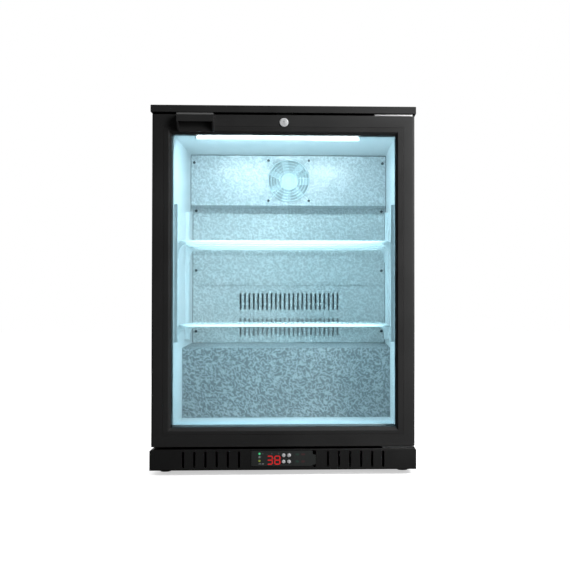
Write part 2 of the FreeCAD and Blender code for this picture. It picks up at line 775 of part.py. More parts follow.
def shelf_clip(start_y, support):
    """Clip on the right wall: a spine, a ledge, a gusset with a hollow curve and a hook tab."""
    middle = start_y + PILASTER_WIDTH / 2
    face = PILASTER_FACE
    tip = PILASTER_FACE - CLIP_REACH
    ledge = block((tip, face), (middle - 6, middle + 6), (support - CLIP_SHEET, support))
    spine = block((face - CLIP_SHEET, face), (middle - 5, middle + 5), (support - CLIP_DROP, support))
    curve = 22.0
    gusset = block((tip, face - 1), (middle - 1, middle + 1), (support - curve - 2, support - 1))
    low = support - curve - 2
    hollow = rod(curve, (tip - 4, middle - 2, low), (tip - 4, middle + 2, low))
    tab = block((face - 1, face + 3.2), (middle - 2, middle + 2), (support - 9.2, support - 1.6))
    return fused([ledge, spine, gusset.cut(hollow), tab])


def shelf_clips():
    """Eight clips, four under each shelf."""
    supports = (UPPER_SUPPORT, LOWER_SUPPORT)
    right = [shelf_clip(start, support) for start in PILASTER_STARTS for support in supports]
    return group(right + [mirrored(clip) for clip in right])


def wire_shelf(support):
    """Coated wire shelf: a rounded frame, cross wires and close rods from front to back."""
    level = support + SHELF_WIRE
    x = SHELF_HALF - SHELF_WIRE
    front, rear = SHELF_FRONT + SHELF_WIRE, SHELF_REAR - SHELF_WIRE
    corners = [(-x, front, level), (x, front, level), (x, rear, level), (-x, rear, level)]
    pieces = [bent_bar(corners, SHELF_WIRE, SHELF_CORNER, closed=True)]
    for i in range(1, SHELF_CROSS_WIRES + 1):
        y = front + (rear - front) * i / (SHELF_CROSS_WIRES + 1)
        pieces.append(rod(SHELF_WIRE - 0.3, (-x, y, level), (x, y, level)))
    rod_level = level + SHELF_WIRE + SHELF_ROD - 0.6
    for i in range(-SHELF_ROD_SIDE_COUNT, SHELF_ROD_SIDE_COUNT + 1):
        place = i * SHELF_ROD_PITCH
        pieces.append(rod(SHELF_ROD, (place, front - 1, rod_level), (place, rear + 1, rod_level)))
    return fused(pieces)


# ---------------------------------------------------------------- door


def door_frame():
    """Moulded front of the door: hollow walls, a seat for the glazing and bosses for hinges and lock."""
    y = (DOOR_FACE, DOOR_BACK - BACKING)
    whole = block(both(BODY_HALF), y, (DOOR_BOTTOM, DOOR_TOP))
    front_corners = [e for e in edges_along(whole, Z_AXIS) if e.BoundBox.YMax < y[0] + 0.1]
    whole = whole.makeFillet(DOOR_EDGE_RADIUS, front_corners)
    seat = grown(BEZEL_OUTER, BEZEL_GROOVE)
    pane_seat = (PANE_HALF + 2, PANE_BOTTOM - 2, PANE_TOP + 2)
    seat_cut = block(both(seat[0]), (y[0] - 1, y[0] + BEZEL_DEPTH), seat[1:])
    pane_cut = block(both(pane_seat[0]), (y[0], y[1] + 1), pane_seat[1:])
    hollow_outer = (BODY_HALF - DOOR_WALL, DOOR_BOTTOM + DOOR_WALL, DOOR_TOP - DOOR_WALL)
    hollow_y = (DOOR_FACE + BEZEL_DEPTH + DOOR_WALL, y[1] + 1)
    hollow = ring(hollow_outer, grown(pane_seat, DOOR_WALL), hollow_y)
    shell = whole.cut([seat_cut, pane_cut, hollow])
    rear = y[1]
    boss_x = (PIN_X - BOSS_RADIUS, BODY_HALF - 1)
    boss_y = (hollow_y[0] - 1, rear)
    bosses = [
        block(boss_x, boss_y, (DOOR_BOTTOM + 1, DOOR_BOTTOM + 24)),
        block(boss_x, boss_y, (DOOR_TOP - 24, DOOR_TOP - 1)),
        rod(LOCK_BARREL_HOLE + 3, (0, hollow_y[0] - 1, LOCK_Z), (0, rear, LOCK_Z)),
    ]
    holes = [
        rod(BUSH_RADIUS, (PIN_X, PIN_Y, DOOR_BOTTOM - 1), (PIN_X, PIN_Y, DOOR_BOTTOM + 19)),
        rod(BUSH_RADIUS, (PIN_X, PIN_Y, DOOR_TOP - 19), (PIN_X, PIN_Y, DOOR_TOP + 1)),
        rod(LOCK_BARREL_HOLE, (0, y[0] - 1, LOCK_Z), (0, rear + 1, LOCK_Z)),
    ]
    return fused([shell] + bosses).cut(holes)


def door_backing():
    """Rear cover of the door with a lip that holds the inner pane."""
    plate_y = (DOOR_BACK - BACKING, DOOR_BACK)
    plate = ring((BODY_HALF - 0.5, DOOR_BOTTOM + 0.5, DOOR_TOP - 0.5), SIGHT_LINE, plate_y)
    lip_y = (DOOR_FACE + BEZEL_DEPTH + 2 * PANE + PANE_GAP, plate_y[1] - 1)
    lip = ring((PANE_HALF, PANE_BOTTOM, PANE_TOP), SIGHT_LINE, lip_y)
    hole = rod(LOCK_BARREL_HOLE, (0, plate_y[0] - 1, LOCK_Z), (0, plate_y[1] + 1, LOCK_Z))
    return fused([plate, lip]).cut(hole)


def glass_bezel():
    """Glazing bead: flat outside, then a bevel that falls to the glass."""
    back = DOOR_FACE + BEZEL_DEPTH
    body = block(both(BEZEL_OUTER[0]), (DOOR_FACE, back), BEZEL_OUTER[1:])
    half, bottom, top = BEZEL_INNER
    front_rect = (half + BEZEL_BEVEL, bottom - BEZEL_BEVEL_HEIGHT, top + BEZEL_BEVEL_HEIGHT)
    wires = []
    for y, (w, low, high) in ((DOOR_FACE, front_rect), (back, BEZEL_INNER)):
        corners = [V(-w, y, low), V(w, y, low), V(w, y, high), V(-w, y, high)]
        wires.append(Part.makePolygon(corners + [corners[0]]))
    return body.cut(Part.makeLoft(wires, True, True))


def glass_panes():
    """Front and rear sheets of glass with softened edges."""
    panes = []
    for front in (DOOR_FACE + BEZEL_DEPTH, DOOR_FACE + BEZEL_DEPTH + PANE + PANE_GAP):
        pane = block(both(PANE_HALF), (front, front + PANE), (PANE_BOTTOM, PANE_TOP))
        panes.append(pane.makeChamfer(0.6, edges_along(pane, X_AXIS) + edges_along(pane, Z_AXIS)))
    return group(panes)


def glass_spacer():
    """Sealed spacer bar that holds the two panes apart."""
    start = DOOR_FACE + BEZEL_DEPTH + PANE
    outer = (PANE_HALF, PANE_BOTTOM, PANE_TOP)
    return ring(outer, SIGHT_LINE, (start, start + PANE_GAP))


def door_gasket():
    """Magnetic bellows seal on the rear of the door."""
    y = (DOOR_BACK, BODY_FRONT - GASKET_CLEARANCE)
    inner = grown(GASKET_OUTER, -GASKET_WIDTH)
    seal = ring(GASKET_OUTER, inner, y)
    rear_edges = [e for e in seal.Edges if e.BoundBox.YMin > y[1] - 0.01]
    seal = seal.makeFillet(1.4, rear_edges)
    groove = ring(grown(GASKET_OUTER, -5.0), grown(GASKET_OUTER, -8.0), (y[1] - 1.2, y[1] + 1))
    return seal.cut(groove)


def door_handle():
    """Cupped pull: chamfered brow, short front lip, cheeks that taper back, open below and behind the lip."""
    back = DOOR_FACE
    nose = DOOR_FACE - HANDLE_REACH
    top = DOOR_TOP + 0.5
    lip_bottom = top - HANDLE_LIP
    wall = HANDLE_WALL
    profile = [
        (back, top),
        (nose + HANDLE_BROW, top),
        (nose, top - HANDLE_BROW),
        (nose, lip_bottom),
        (back - wall - 3, HANDLE_BOTTOM),
        (back, HANDLE_BOTTOM),
    ]
    hollow = [
        (back - wall, HANDLE_BOTTOM - 1),
        (back - wall, top - wall - 3),
        (back - wall - 3, top - wall),
        (nose + wall + 4, top - wall),
        (nose + wall, top - wall - 4),
        (nose + wall, lip_bottom),
        (nose - 1, lip_bottom),
        (nose - 1, HANDLE_BOTTOM - 1),
    ]
    body = prism_yz(profile, (HANDLE_LEFT, HANDLE_RIGHT))
    pocket = prism_yz(hollow, (HANDLE_LEFT + wall, HANDLE_RIGHT - wall))
    centre_x, centre_z = HANDLE_LEFT + HANDLE_CORNER, HANDLE_BOTTOM + HANDLE_CORNER
    corner = block((HANDLE_LEFT - 1, centre_x), (nose - 1, back + 1), (HANDLE_BOTTOM - 1, centre_z))
    corner = corner.cut(rod(HANDLE_CORNER, (centre_x, nose - 2, centre_z), (centre_x, back + 2, centre_z)))
    return body.cut([pocket, corner])


def hinge_bushes():
    """Nylon bushes in the door's two hinge bosses; the lower one carries the door on its collar."""
    bore = PIN_RADIUS + SHAFT_CLEARANCE
    upper = rod(BUSH_RADIUS, (PIN_X, PIN_Y, DOOR_TOP - 19), (PIN_X, PIN_Y, DOOR_TOP))
    lower = rod(BUSH_RADIUS, (PIN_X, PIN_Y, DOOR_BOTTOM), (PIN_X, PIN_Y, DOOR_BOTTOM + 19))
    collar = rod(BOSS_RADIUS, (PIN_X, PIN_Y, BRACKET_Z[1] + 0.1), (PIN_X, PIN_Y, DOOR_BOTTOM))
    hole = rod(bore, (PIN_X, PIN_Y, 0), (PIN_X, PIN_Y, HEIGHT))
    return group([upper.cut(hole), fused([lower, collar]).cut(hole)])


def lock_barrel():
    """Fixed barrel of the door lock with its front flange."""
    flange = rod(LOCK_FLANGE, (0, DOOR_FACE - 2.4, LOCK_Z), (0, DOOR_FACE, LOCK_Z))
    flange = flange.makeFillet(1.2, [e for e in flange.Edges if e.BoundBox.YMax < DOOR_FACE - 2.3])
    barrel = rod(LOCK_BARREL, (0, DOOR_FACE, LOCK_Z), (0, DOOR_BACK, LOCK_Z))
    bore = rod(LOCK_PLUG + SHAFT_CLEARANCE, (0, DOOR_FACE - 5, LOCK_Z), (0, DOOR_BACK + 5, LOCK_Z))
    return fused([flange, barrel]).cut(bore)


def lock_plug():
    """Turning plug of the lock, with a keyway in front and a square tail for the cam."""
    plug = rod(LOCK_PLUG, (0, DOOR_FACE - 2.7, LOCK_Z), (0, DOOR_BACK + 0.4, LOCK_Z))
    plug = plug.makeFillet(0.5, [e for e in plug.Edges if e.BoundBox.YMax < DOOR_FACE - 2.6])
    tail = block(both(3.0), (DOOR_BACK + 0.3, CAM_Y[1] + 0.2), (LOCK_Z - 3.0, LOCK_Z + 3.0))
    keyway = block(both(0.9), (DOOR_FACE - 5, DOOR_FACE + 9), (LOCK_Z - 3.6, LOCK_Z + 3.2))
    return fused([plug, tail]).cut(keyway)


def lock_cam():
    """Flat tongue on the plug's tail, lying sideways when the door is unlocked."""
    z = (LOCK_Z - CAM_HALF_WIDTH, LOCK_Z + CAM_HALF_WIDTH)
    tongue = block((-CAM_LENGTH, 0), CAM_Y, z)
    hub = rod(CAM_HALF_WIDTH, (0, CAM_Y[0], LOCK_Z), (0, CAM_Y[1], LOCK_Z))
    tip_edges = [e for e in edges_along(tongue, Y_AXIS) if e.BoundBox.XMax < -CAM_LENGTH + 0.1]
    square = block(both(3.0), (CAM_Y[0] - 1, CAM_Y[1] + 1), (LOCK_Z - 3.0, LOCK_Z + 3.0))
    return fused([tongue.makeFillet(3.0, tip_edges), hub]).cut(square)


def lock_strike():
    """Plate under the lid that the raised cam catches behind."""
    plate = block(both(18.0), (DOOR_BACK - 2.5, DOOR_BACK - 0.5), (DOOR_TOP + 1.7, HEIGHT - 2.5))
    foot = block(both(18.0), (DOOR_BACK - 14, DOOR_BACK - 0.5), (HEIGHT - 4.5, HEIGHT - 2.5))
    return fused([plate, foot])


# ---------------------------------------------------------------- hinges


def top_hinge_plate():
    """Steel plate under the lid with the upper hinge pin."""
    plate = block((HINGE_PLATE_LEFT, HINGE_PLATE_RIGHT), (-231.0, -138.0), HINGE_PLATE_Z)
    plate = plate.makeFillet(4.0, edges_along(plate, Z_AXIS))
    pin = rod(PIN_RADIUS, (PIN_X, PIN_Y, DOOR_TOP - 17), (PIN_X, PIN_Y, HINGE_PLATE_Z[1] - 0.5))
    pin = pin.makeChamfer(0.8, [e for e in pin.Edges if e.BoundBox.ZMax < DOOR_TOP - 16.9])
    return fused([plate, pin]).cut(hinge_screw_holes(TOP_HINGE_SCREWS, HINGE_PLATE_Z))


def bottom_hinge_bracket():
    """Steel bracket under the body with the lower hinge pin."""
    plate = block((BRACKET_LEFT, HINGE_PLATE_RIGHT), (-228.0, -126.0), BRACKET_Z)
    plate = plate.makeFillet(4.0, edges_along(plate, Z_AXIS))
    pin = rod(PIN_RADIUS, (PIN_X, PIN_Y, BRACKET_Z[0] + 0.5), (PIN_X, PIN_Y, DOOR_BOTTOM + 17))
    pin = pin.makeChamfer(0.8, [e for e in pin.Edges if e.BoundBox.ZMin > DOOR_BOTTOM + 16.9])
    return fused([plate, pin]).cut(hinge_screw_holes(BOTTOM_HINGE_SCREWS, BRACKET_Z))


def countersunk_screw(x, y, start, direction, length):
    """Hinge screw: a low conical head above a face and a shank that points the other way."""
    axis = V(0, 0, direction)
    head = Part.makeCone(HINGE_SCREW_HEAD, HINGE_SCREW_HEAD - 1.5, 2.6, V(x, y, start), axis)
    return fused([head, rod(HINGE_SCREW_SHANK, (x, y, start), (x, y, start - direction * length))])


def screws():
    """All fixing screws: interior panels, fan guard and both hinge plates."""
    made = [pan_head_screw(x, y, z, SCREW_LENGTH) for x, y, z in panel_screws()]
    guard_front = FAN_BOX_FRONT - 2 * GUARD_WIRE
    made += [pan_head_screw(x, guard_front, z, 16.0) for x, z in fan_screw_places()]
    made += [countersunk_screw(x, y, HINGE_PLATE_Z[1], 1, 17.0) for x, y in TOP_HINGE_SCREWS]
    made += [countersunk_screw(x, y, BRACKET_Z[0], -1, 15.0) for x, y in BOTTOM_HINGE_SCREWS]
    return group(made)


# ---------------------------------------------------------------- plinth and controller


def kick_plinth():
    """Moulded base front with air slots, side returns and an opening for the controller."""
    outline = [
        (-HALF_WIDTH, FLOOR_GAP),
        (HALF_WIDTH, FLOOR_GAP),
        (HALF_WIDTH, PLINTH_TOP - PLINTH_CHAMFER),
        (HALF_WIDTH - PLINTH_CHAMFER, PLINTH_TOP),
        (PLINTH_CHAMFER - HALF_WIDTH, PLINTH_TOP),
        (-HALF_WIDTH, PLINTH_TOP - PLINTH_CHAMFER),
    ]
    body = prism_xz(outline, (PLINTH_FACE, PLINTH_REAR))
    front_edges = [e for e in body.Edges if e.BoundBox.YMax < PLINTH_FACE + 0.1]
    body = body.makeFillet(1.0, front_edges)
    inside_y = (PLINTH_FACE + PLINTH_WALL, PLINTH_REAR + 1)
    inside = block(both(HALF_WIDTH - PLINTH_WALL), inside_y, (0, PLINTH_TOP - PLINTH_WALL))
    through = (PLINTH_FACE - 2, PLINTH_FACE + PLINTH_WALL + 2)
    slots = []
    for x in PLINTH_SLOT_XS:
        slot = obround(x, through, PLINTH_SLOT_Z, PLINTH_SLOT_WIDTH)
        slots += [slot, mirrored(slot)]
    (left, right), (low, high) = CONTROLLER_X, CONTROLLER_Z
    opening = block((left - 0.5, right + CONTROLLER_TAB + 0.5), through, (low - 0.5, high + 0.5))
    finger_notch = rounded((right + 0.6, right + 6.4), through, (16.5, low + 4), 1.4, Y_AXIS)
    side_y = (BODY_FRONT - 0.5, PLINTH_REAR + 1)
    clearance = block((BODY_HALF - 15, BODY_HALF + 0.5), side_y, (0, PLINTH_TOP + 1))
    return body.cut([inside, opening, finger_notch, clearance, mirrored(clearance)] + slots)


def controller_bezel():
    """Front plate of the thermostat with a pull tab at its right end."""
    y = (CONTROLLER_FACE, PLINTH_FACE + PLINTH_WALL)
    plate = rounded(CONTROLLER_X, y, CONTROLLER_Z, 2.5, Y_AXIS)
    tab_z = (CONTROLLER_Z[0] + 3, CONTROLLER_Z[1] - 9)
    tab_x = (CONTROLLER_X[1] - 8, CONTROLLER_X[1] + CONTROLLER_TAB)
    tab = rounded(tab_x, (y[0] + 0.8, y[1]), tab_z, 3.0, Y_AXIS)
    groove = block((CONTROLLER_SPLIT - 0.25, CONTROLLER_SPLIT + 0.25), (y[0] - 1, y[0] + 0.4), (0, 60))
    cutters = [groove]
    for x in BUTTON_COLUMNS:
        cutters += [rod(BUTTON_HOLE, (x, y[0] - 1, z), (x, y[1] + 1, z)) for z in BUTTON_ROWS]
    for z in INDICATOR_ZS:
        cutters.append(rod(INDICATOR_RADIUS, (INDICATOR_X, y[0] - 1, z), (INDICATOR_X, y[0] + 1, z)))
    return fused([plate, tab]).cut(cutters)


def controller_housing():
    """Closed box behind the bezel that holds the circuit board."""
    x = (CONTROLLER_X[0] + 3, CONTROLLER_X[1] - 3)
    z = (CONTROLLER_Z[0] + 1.5, CONTROLLER_Z[1] - 1.5)
    y = (PLINTH_FACE + PLINTH_WALL, -180.0)
    wall = 2.0
    hollow = block((x[0] + wall, x[1] - wall), (y[0] - 1, y[1] - wall), (z[0] + wall, z[1] - wall))
    return rounded(x, y, z, 2.0, Y_AXIS).cut(hollow)


def segment(kind, left, bottom):
    """One bar of a seven-segment digit, with pointed ends."""
    width, height = DIGIT_SIZE
    half = DIGIT_STROKE / 2
    gap = 0.25
    inset = half + gap
    levels = {"a": height - half, "g": height / 2, "d": half}
    y = (CONTROLLER_FACE - 0.3, CONTROLLER_FACE)
    if kind in levels:
        z = bottom + levels[kind]
        start, end = left + inset, left + width - inset
        upper = [(start, z), (start + half, z + half), (end - half, z + half)]
        lower = [(end, z), (end - half, z - half), (start + half, z - half)]
        return prism_xz(upper + lower, y)
    x = left + (half if kind in "ef" else width - half)
    low = bottom + (height / 2 if kind in "bf" else half)
    high = bottom + (height - half if kind in "bf" else height / 2)
    low, high = low + gap, high - gap
    right = [(x, low), (x + half, low + half), (x + half, high - half)]
    left_side = [(x, high), (x - half, high - half), (x - half, low + half)]
    return prism_xz(right + left_side, y)


def display_digits():
    """Lit bars of the two-digit temperature display."""
    bars = []
    for digit, left in zip(DIGITS_SHOWN, DIGIT_LEFT):
        bars += [segment(kind, left, DIGIT_BOTTOM) for kind in SEGMENTS_OF[digit]]
    return group(bars)


def indicator_lights():
    """Three small status lamps at the left of the display."""
    lamps = []
    for z in INDICATOR_ZS:
        front, back = CONTROLLER_FACE - 0.5, CONTROLLER_FACE + 1
        lamp = rod(INDICATOR_RADIUS, (INDICATOR_X, front, z), (INDICATOR_X, back, z))
        lamps.append(lamp.makeFillet(0.4, [e for e in lamp.Edges if e.BoundBox.YMax < CONTROLLER_FACE]))
    return group(lamps)


def button(x, z):
    """Domed push button with a collar that keeps it behind the bezel."""
    front = CONTROLLER_FACE - 2.4
    behind = PLINTH_FACE + PLINTH_WALL
    cap = rod(BUTTON_RADIUS, (x, front, z), (x, behind + 1, z))
    cap = cap.makeFillet(2.1, [e for e in cap.Edges if e.BoundBox.YMax < front + 0.1])
    collar = rod(BUTTON_RADIUS + 1, (x, behind + 0.2, z), (x, behind + 1.6, z))
    stem = rod(2.0, (x, behind + 1, z), (x, behind + 9, z))
    return fused([cap, collar, stem])


# ---------------------------------------------------------------- base and machine compartment


def foot_places():
    """(x, y) of the four feet."""
    return [(side * FOOT_X, y) for side in (-1, 1) for y in FOOT_YS]


def base_pan():
    """Steel tray that carries the machinery, with a welded nut over each foot."""
    sheet = 2.0
    y = (-208.0, REAR - SHEET)
    half = BODY_HALF - SHEET
    floor = block(both(half), y, (FLOOR_GAP, FLOOR_GAP + sheet))
    wing = block((half - sheet, half), y, (FLOOR_GAP, FLOOR_GAP + 22))
    nuts = [
        rod(NUT_RADIUS, (x, fy, FLOOR_GAP + sheet - 0.5), (x, fy, FLOOR_GAP + sheet + NUT_HEIGHT))
        for x, fy in foot_places()
    ]
    holes = [rod(STEM_RADIUS + 0.08, (x, fy, 0), (x, fy, 60)) for x, fy in foot_places()]
    return fused([floor, wing, mirrored(wing)] + nuts).cut(holes)


def levelling_foot(x, y):
    """Screw foot: a wide pad under a threaded stem."""
    pad = rod(FOOT_RADIUS, (x, y, 0), (x, y, FOOT_HEIGHT))
    pad = pad.makeChamfer(1.5, [e for e in pad.Edges if e.BoundBox.ZMax - e.BoundBox.ZMin < 0.1])
    return fused([pad, rod(STEM_RADIUS, (x, y, FOOT_HEIGHT - 1), (x, y, STEM_TOP))])


def compressor_shape(shrink):
    """Hermetic can with domed ends, made smaller by a wall thickness for its inside."""
    radius = COMPRESSOR_RADIUS - shrink
    low, high = COMPRESSOR_FEET_Z + 8 + shrink, COMPRESSOR_TOP - shrink
    can = rod(radius, (COMPRESSOR_X, COMPRESSOR_Y, low), (COMPRESSOR_X, COMPRESSOR_Y, high))
    rims = [e for e in can.Edges if e.BoundBox.ZMax - e.BoundBox.ZMin < 0.1]
    return can.makeFillet(COMPRESSOR_BEND - shrink, rims)


def compressor_feet_places():
    """(x, y) of the compressor's four mounts."""
    return [(COMPRESSOR_X + dx, COMPRESSOR_Y + dy) for dx in both(82.0) for dy in both(58.0)]


def compressor():
    """Hermetic compressor with a weld seam, foot plate and terminal cover."""
    can = compressor_shape(0.0)
    x, y = COMPRESSOR_X, COMPRESSOR_Y
    seam = rod(COMPRESSOR_RADIUS + 3, (x, y, 116), (x, y, 121))
    plate_z = (COMPRESSOR_FEET_Z, COMPRESSOR_FEET_Z + 3)
    plate = rounded((x - 96, x + 96), (y - 72, y + 72), plate_z, 12.0, Z_AXIS)
    saddle = rod(40.0, (x, y, COMPRESSOR_FEET_Z + 1), (x, y, 50))
    holes = [rod(5.2, (hx, hy, 0), (hx, hy, 60)) for hx, hy in compressor_feet_places()]
    start = x + COMPRESSOR_RADIUS - 3
    cover = rounded((start, start + 28), (y - 26, y + 26), (66, 110), 4.0, X_AXIS)
    ports = [
        rod(3.6, (x - COMPRESSOR_RADIUS - 5, y, SUCTION_Z), (x - 40, y, SUCTION_Z)),
        rod(2.4, (x, y - COMPRESSOR_RADIUS - 5, DISCHARGE_Z), (x, y - 40, DISCHARGE_Z)),
    ]
    body = fused([can, seam, plate, saddle, cover])
    return body.cut([compressor_shape(COMPRESSOR_WALL)] + ports + holes)


def compressor_mounts():
    """Four rubber grommets under the compressor's foot plate."""
    mounts = []
    for x, y in compressor_feet_places():
        low = rod(GROMMET_RADIUS, (x, y, FLOOR_GAP + 2), (x, y, COMPRESSOR_FEET_Z))
        neck = rod(5.0, (x, y, COMPRESSOR_FEET_Z - 1), (x, y, COMPRESSOR_FEET_Z + 3.2))
        crown = rod(8.0, (x, y, COMPRESSOR_FEET_Z + 3.1), (x, y, COMPRESSOR_FEET_Z + 7))
        mounts.append(fused([low, neck, crown]))
    return group(mounts)


def condenser_fan_shroud():
    """Plate behind the condenser with a flanged round opening and a bracket for the fan motor."""
    y = (60.0, 61.5)
    rim_rear = y[1] + 14
    motor_plate = (116.0, 118.0)
    top = BLOWER_Z + 95
    plate = block((18.0, 262.0), y, (FLOOR_GAP + 2, 232.0))
    rim = rod(BLOWER_OPENING + 1.5, (BLOWER_X, y[0], BLOWER_Z), (BLOWER_X, rim_rear, BLOWER_Z))
    legs = [
        block((BLOWER_X + dx - 6, BLOWER_X + dx + 6), (y[1] - 0.5, motor_plate[1]), (top - 2, top))
        for dx in both(20.0)
    ]
    drop = block((BLOWER_X - 26, BLOWER_X + 26), motor_plate, (BLOWER_Z - 30, top))
    opening = rod(BLOWER_OPENING, (BLOWER_X, y[0] - 1, BLOWER_Z), (BLOWER_X, rim_rear + 1, BLOWER_Z))
    nose_hole = rod(MOTOR_NOSE, (BLOWER_X, motor_plate[0] - 1, BLOWER_Z), (BLOWER_X, 120.0, BLOWER_Z))
    return fused([plate, rim, drop] + legs).cut([opening, nose_hole])


def condenser_fan_motor():
    """Motor of the condenser fan, on the rear of its bracket."""
    body = rod(32.0, (BLOWER_X, 118.0, BLOWER_Z), (BLOWER_X, 160.0, BLOWER_Z))
    body = body.makeFillet(4.0, [e for e in body.Edges if e.BoundBox.YMin > 159.9])
    nose = rod(MOTOR_NOSE, (BLOWER_X, 104.0, BLOWER_Z), (BLOWER_X, 119.0, BLOWER_Z))
    bearing = rod(4.0 + SHAFT_CLEARANCE, (BLOWER_X, 100.0, BLOWER_Z), (BLOWER_X, 150.0, BLOWER_Z))
    return fused([body, nose]).cut(bearing)


def condenser_fan_blade():
    """Five-blade fan with its hub and shaft."""
    hub = rod(20.0, (BLOWER_X, 78.0, BLOWER_Z), (BLOWER_X, 98.0, BLOWER_Z))
    hub = hub.makeFillet(3.0, [e for e in hub.Edges if e.BoundBox.YMax < 78.1])
    shaft = rod(4.0, (BLOWER_X, 96.0, BLOWER_Z), (BLOWER_X, 140.0, BLOWER_Z))
    blades = blade_ring((BLOWER_X, 88.0, BLOWER_Z), 20.0, 80.0, 5, 44.0, 1.6, 62.0)
    limit = block(both(WIDTH), (77.5, 101.0), (0, HEIGHT))
    return fused([hub, shaft] + [blade.common(limit) for blade in blades])


def drip_tray():
    """Shallow tray on the compressor where the melt water dries off."""
    x = (COMPRESSOR_X - 70, COMPRESSOR_X + 70)
    y = (COMPRESSOR_Y - 70, COMPRESSOR_Y + 70)
    outside = rounded(x, y, (COMPRESSOR_TOP, COMPRESSOR_TOP + 30), 14.0, Z_AXIS)
    inside_z = (COMPRESSOR_TOP + 2, 240.0)
    inside = rounded((x[0] + 2, x[1] - 2), (y[0] + 2, y[1] - 2), inside_z, 12.0, Z_AXIS)
    return outside.cut(inside)


def refrigerant_pipes():
    """Copper lines: discharge, condenser outlet with its filter drier, liquid line and suction line."""
    passage_x, passage_y = PIPE_PASSAGE
    evaporator_end = -230.0
    evaporator_zs = evaporator_tube_heights()
    condenser_end = BLOWER_X - 130.0
    condenser_zs = condenser_tube_heights()
    suction_x = passage_x - 3
    suction = [
        (evaporator_end, EVAPORATOR_Y, evaporator_zs[0]),
        (suction_x, EVAPORATOR_Y, evaporator_zs[0]),
        (suction_x, EVAPORATOR_Y, SUCTION_Z),
        (suction_x, COMPRESSOR_Y, SUCTION_Z),
        (COMPRESSOR_X - COMPRESSOR_RADIUS - 0.1, COMPRESSOR_Y, SUCTION_Z),
    ]
    liquid_x, liquid_y = passage_x + 5, passage_y + 8
    liquid = [
        (evaporator_end, EVAPORATOR_Y, evaporator_zs[-1]),
        (liquid_x - 12, EVAPORATOR_Y, evaporator_zs[-1]),
        (liquid_x - 12, liquid_y + 3, evaporator_zs[-1]),
        (liquid_x, liquid_y + 3, evaporator_zs[-1] - 60),
        (liquid_x, liquid_y, evaporator_zs[-1] - 80),
        (liquid_x, liquid_y, 60.0),
        (liquid_x, 230.0, DRIER_Z),
        (BLOWER_X, 230.0, DRIER_Z),
        (BLOWER_X, DRIER_Y, DRIER_Z),
        (DRIER_X[1], DRIER_Y, DRIER_Z),
    ]
    discharge = [
        (COMPRESSOR_X, COMPRESSOR_Y - COMPRESSOR_RADIUS - 0.1, DISCHARGE_Z),
        (COMPRESSOR_X, 50.0, DISCHARGE_Z),
        (COMPRESSOR_X, 50.0, condenser_zs[-1]),
        (COMPRESSOR_X, CONDENSER_Y, condenser_zs[-1]),
        (condenser_end, CONDENSER_Y, condenser_zs[-1]),
    ]
    outlet = [
        (condenser_end, CONDENSER_Y, condenser_zs[0]),
        (0.0, CONDENSER_Y, condenser_zs[0]),
        (0.0, DRIER_Y, condenser_zs[0]),
        (0.0, DRIER_Y, DRIER_Z),
        (DRIER_X[0], DRIER_Y, DRIER_Z),
    ]
    drier = rod(9.0, (DRIER_X[0], DRIER_Y, DRIER_Z), (DRIER_X[1], DRIER_Y, DRIER_Z))
    drier = drier.makeFillet(5.0, [e for e in drier.Edges if e.BoundBox.XMax - e.BoundBox.XMin < 0.1])
    return group(
        [
            drier,
            bent_bar(suction, SUCTION_PIPE, 5.4),
            bent_bar(liquid, LIQUID_PIPE, 3.0),
            bent_bar(discharge, DISCHARGE_PIPE, 4.0),
            bent_bar(outlet, DISCHARGE_PIPE, 4.0),
        ]
    )


def power_inlet():
    """Appliance inlet in the rear grille."""
    flange = rounded((210.0, 246.0), (REAR - 5.0, REAR - SHEET), (30.0, 58.0), 3.0, Y_AXIS)
    body = block((214.4, 241.6), (REAR - 28.0, REAR - 0.3), (34.4, 53.6))
    cavity = rounded((216.4, 239.6), (REAR - 18.0, REAR + 1), (36.4, 51.6), 3.0, Y_AXIS)
    pins = [
        block((x - 1, x + 1), (REAR - 20, REAR - 4), (42.0, 47.0)) for x in (221.0, 228.0, 235.0)
    ]
    return fused([fused([flange, body]).cut(cavity)] + pins)


# ---------------------------------------------------------------- writing


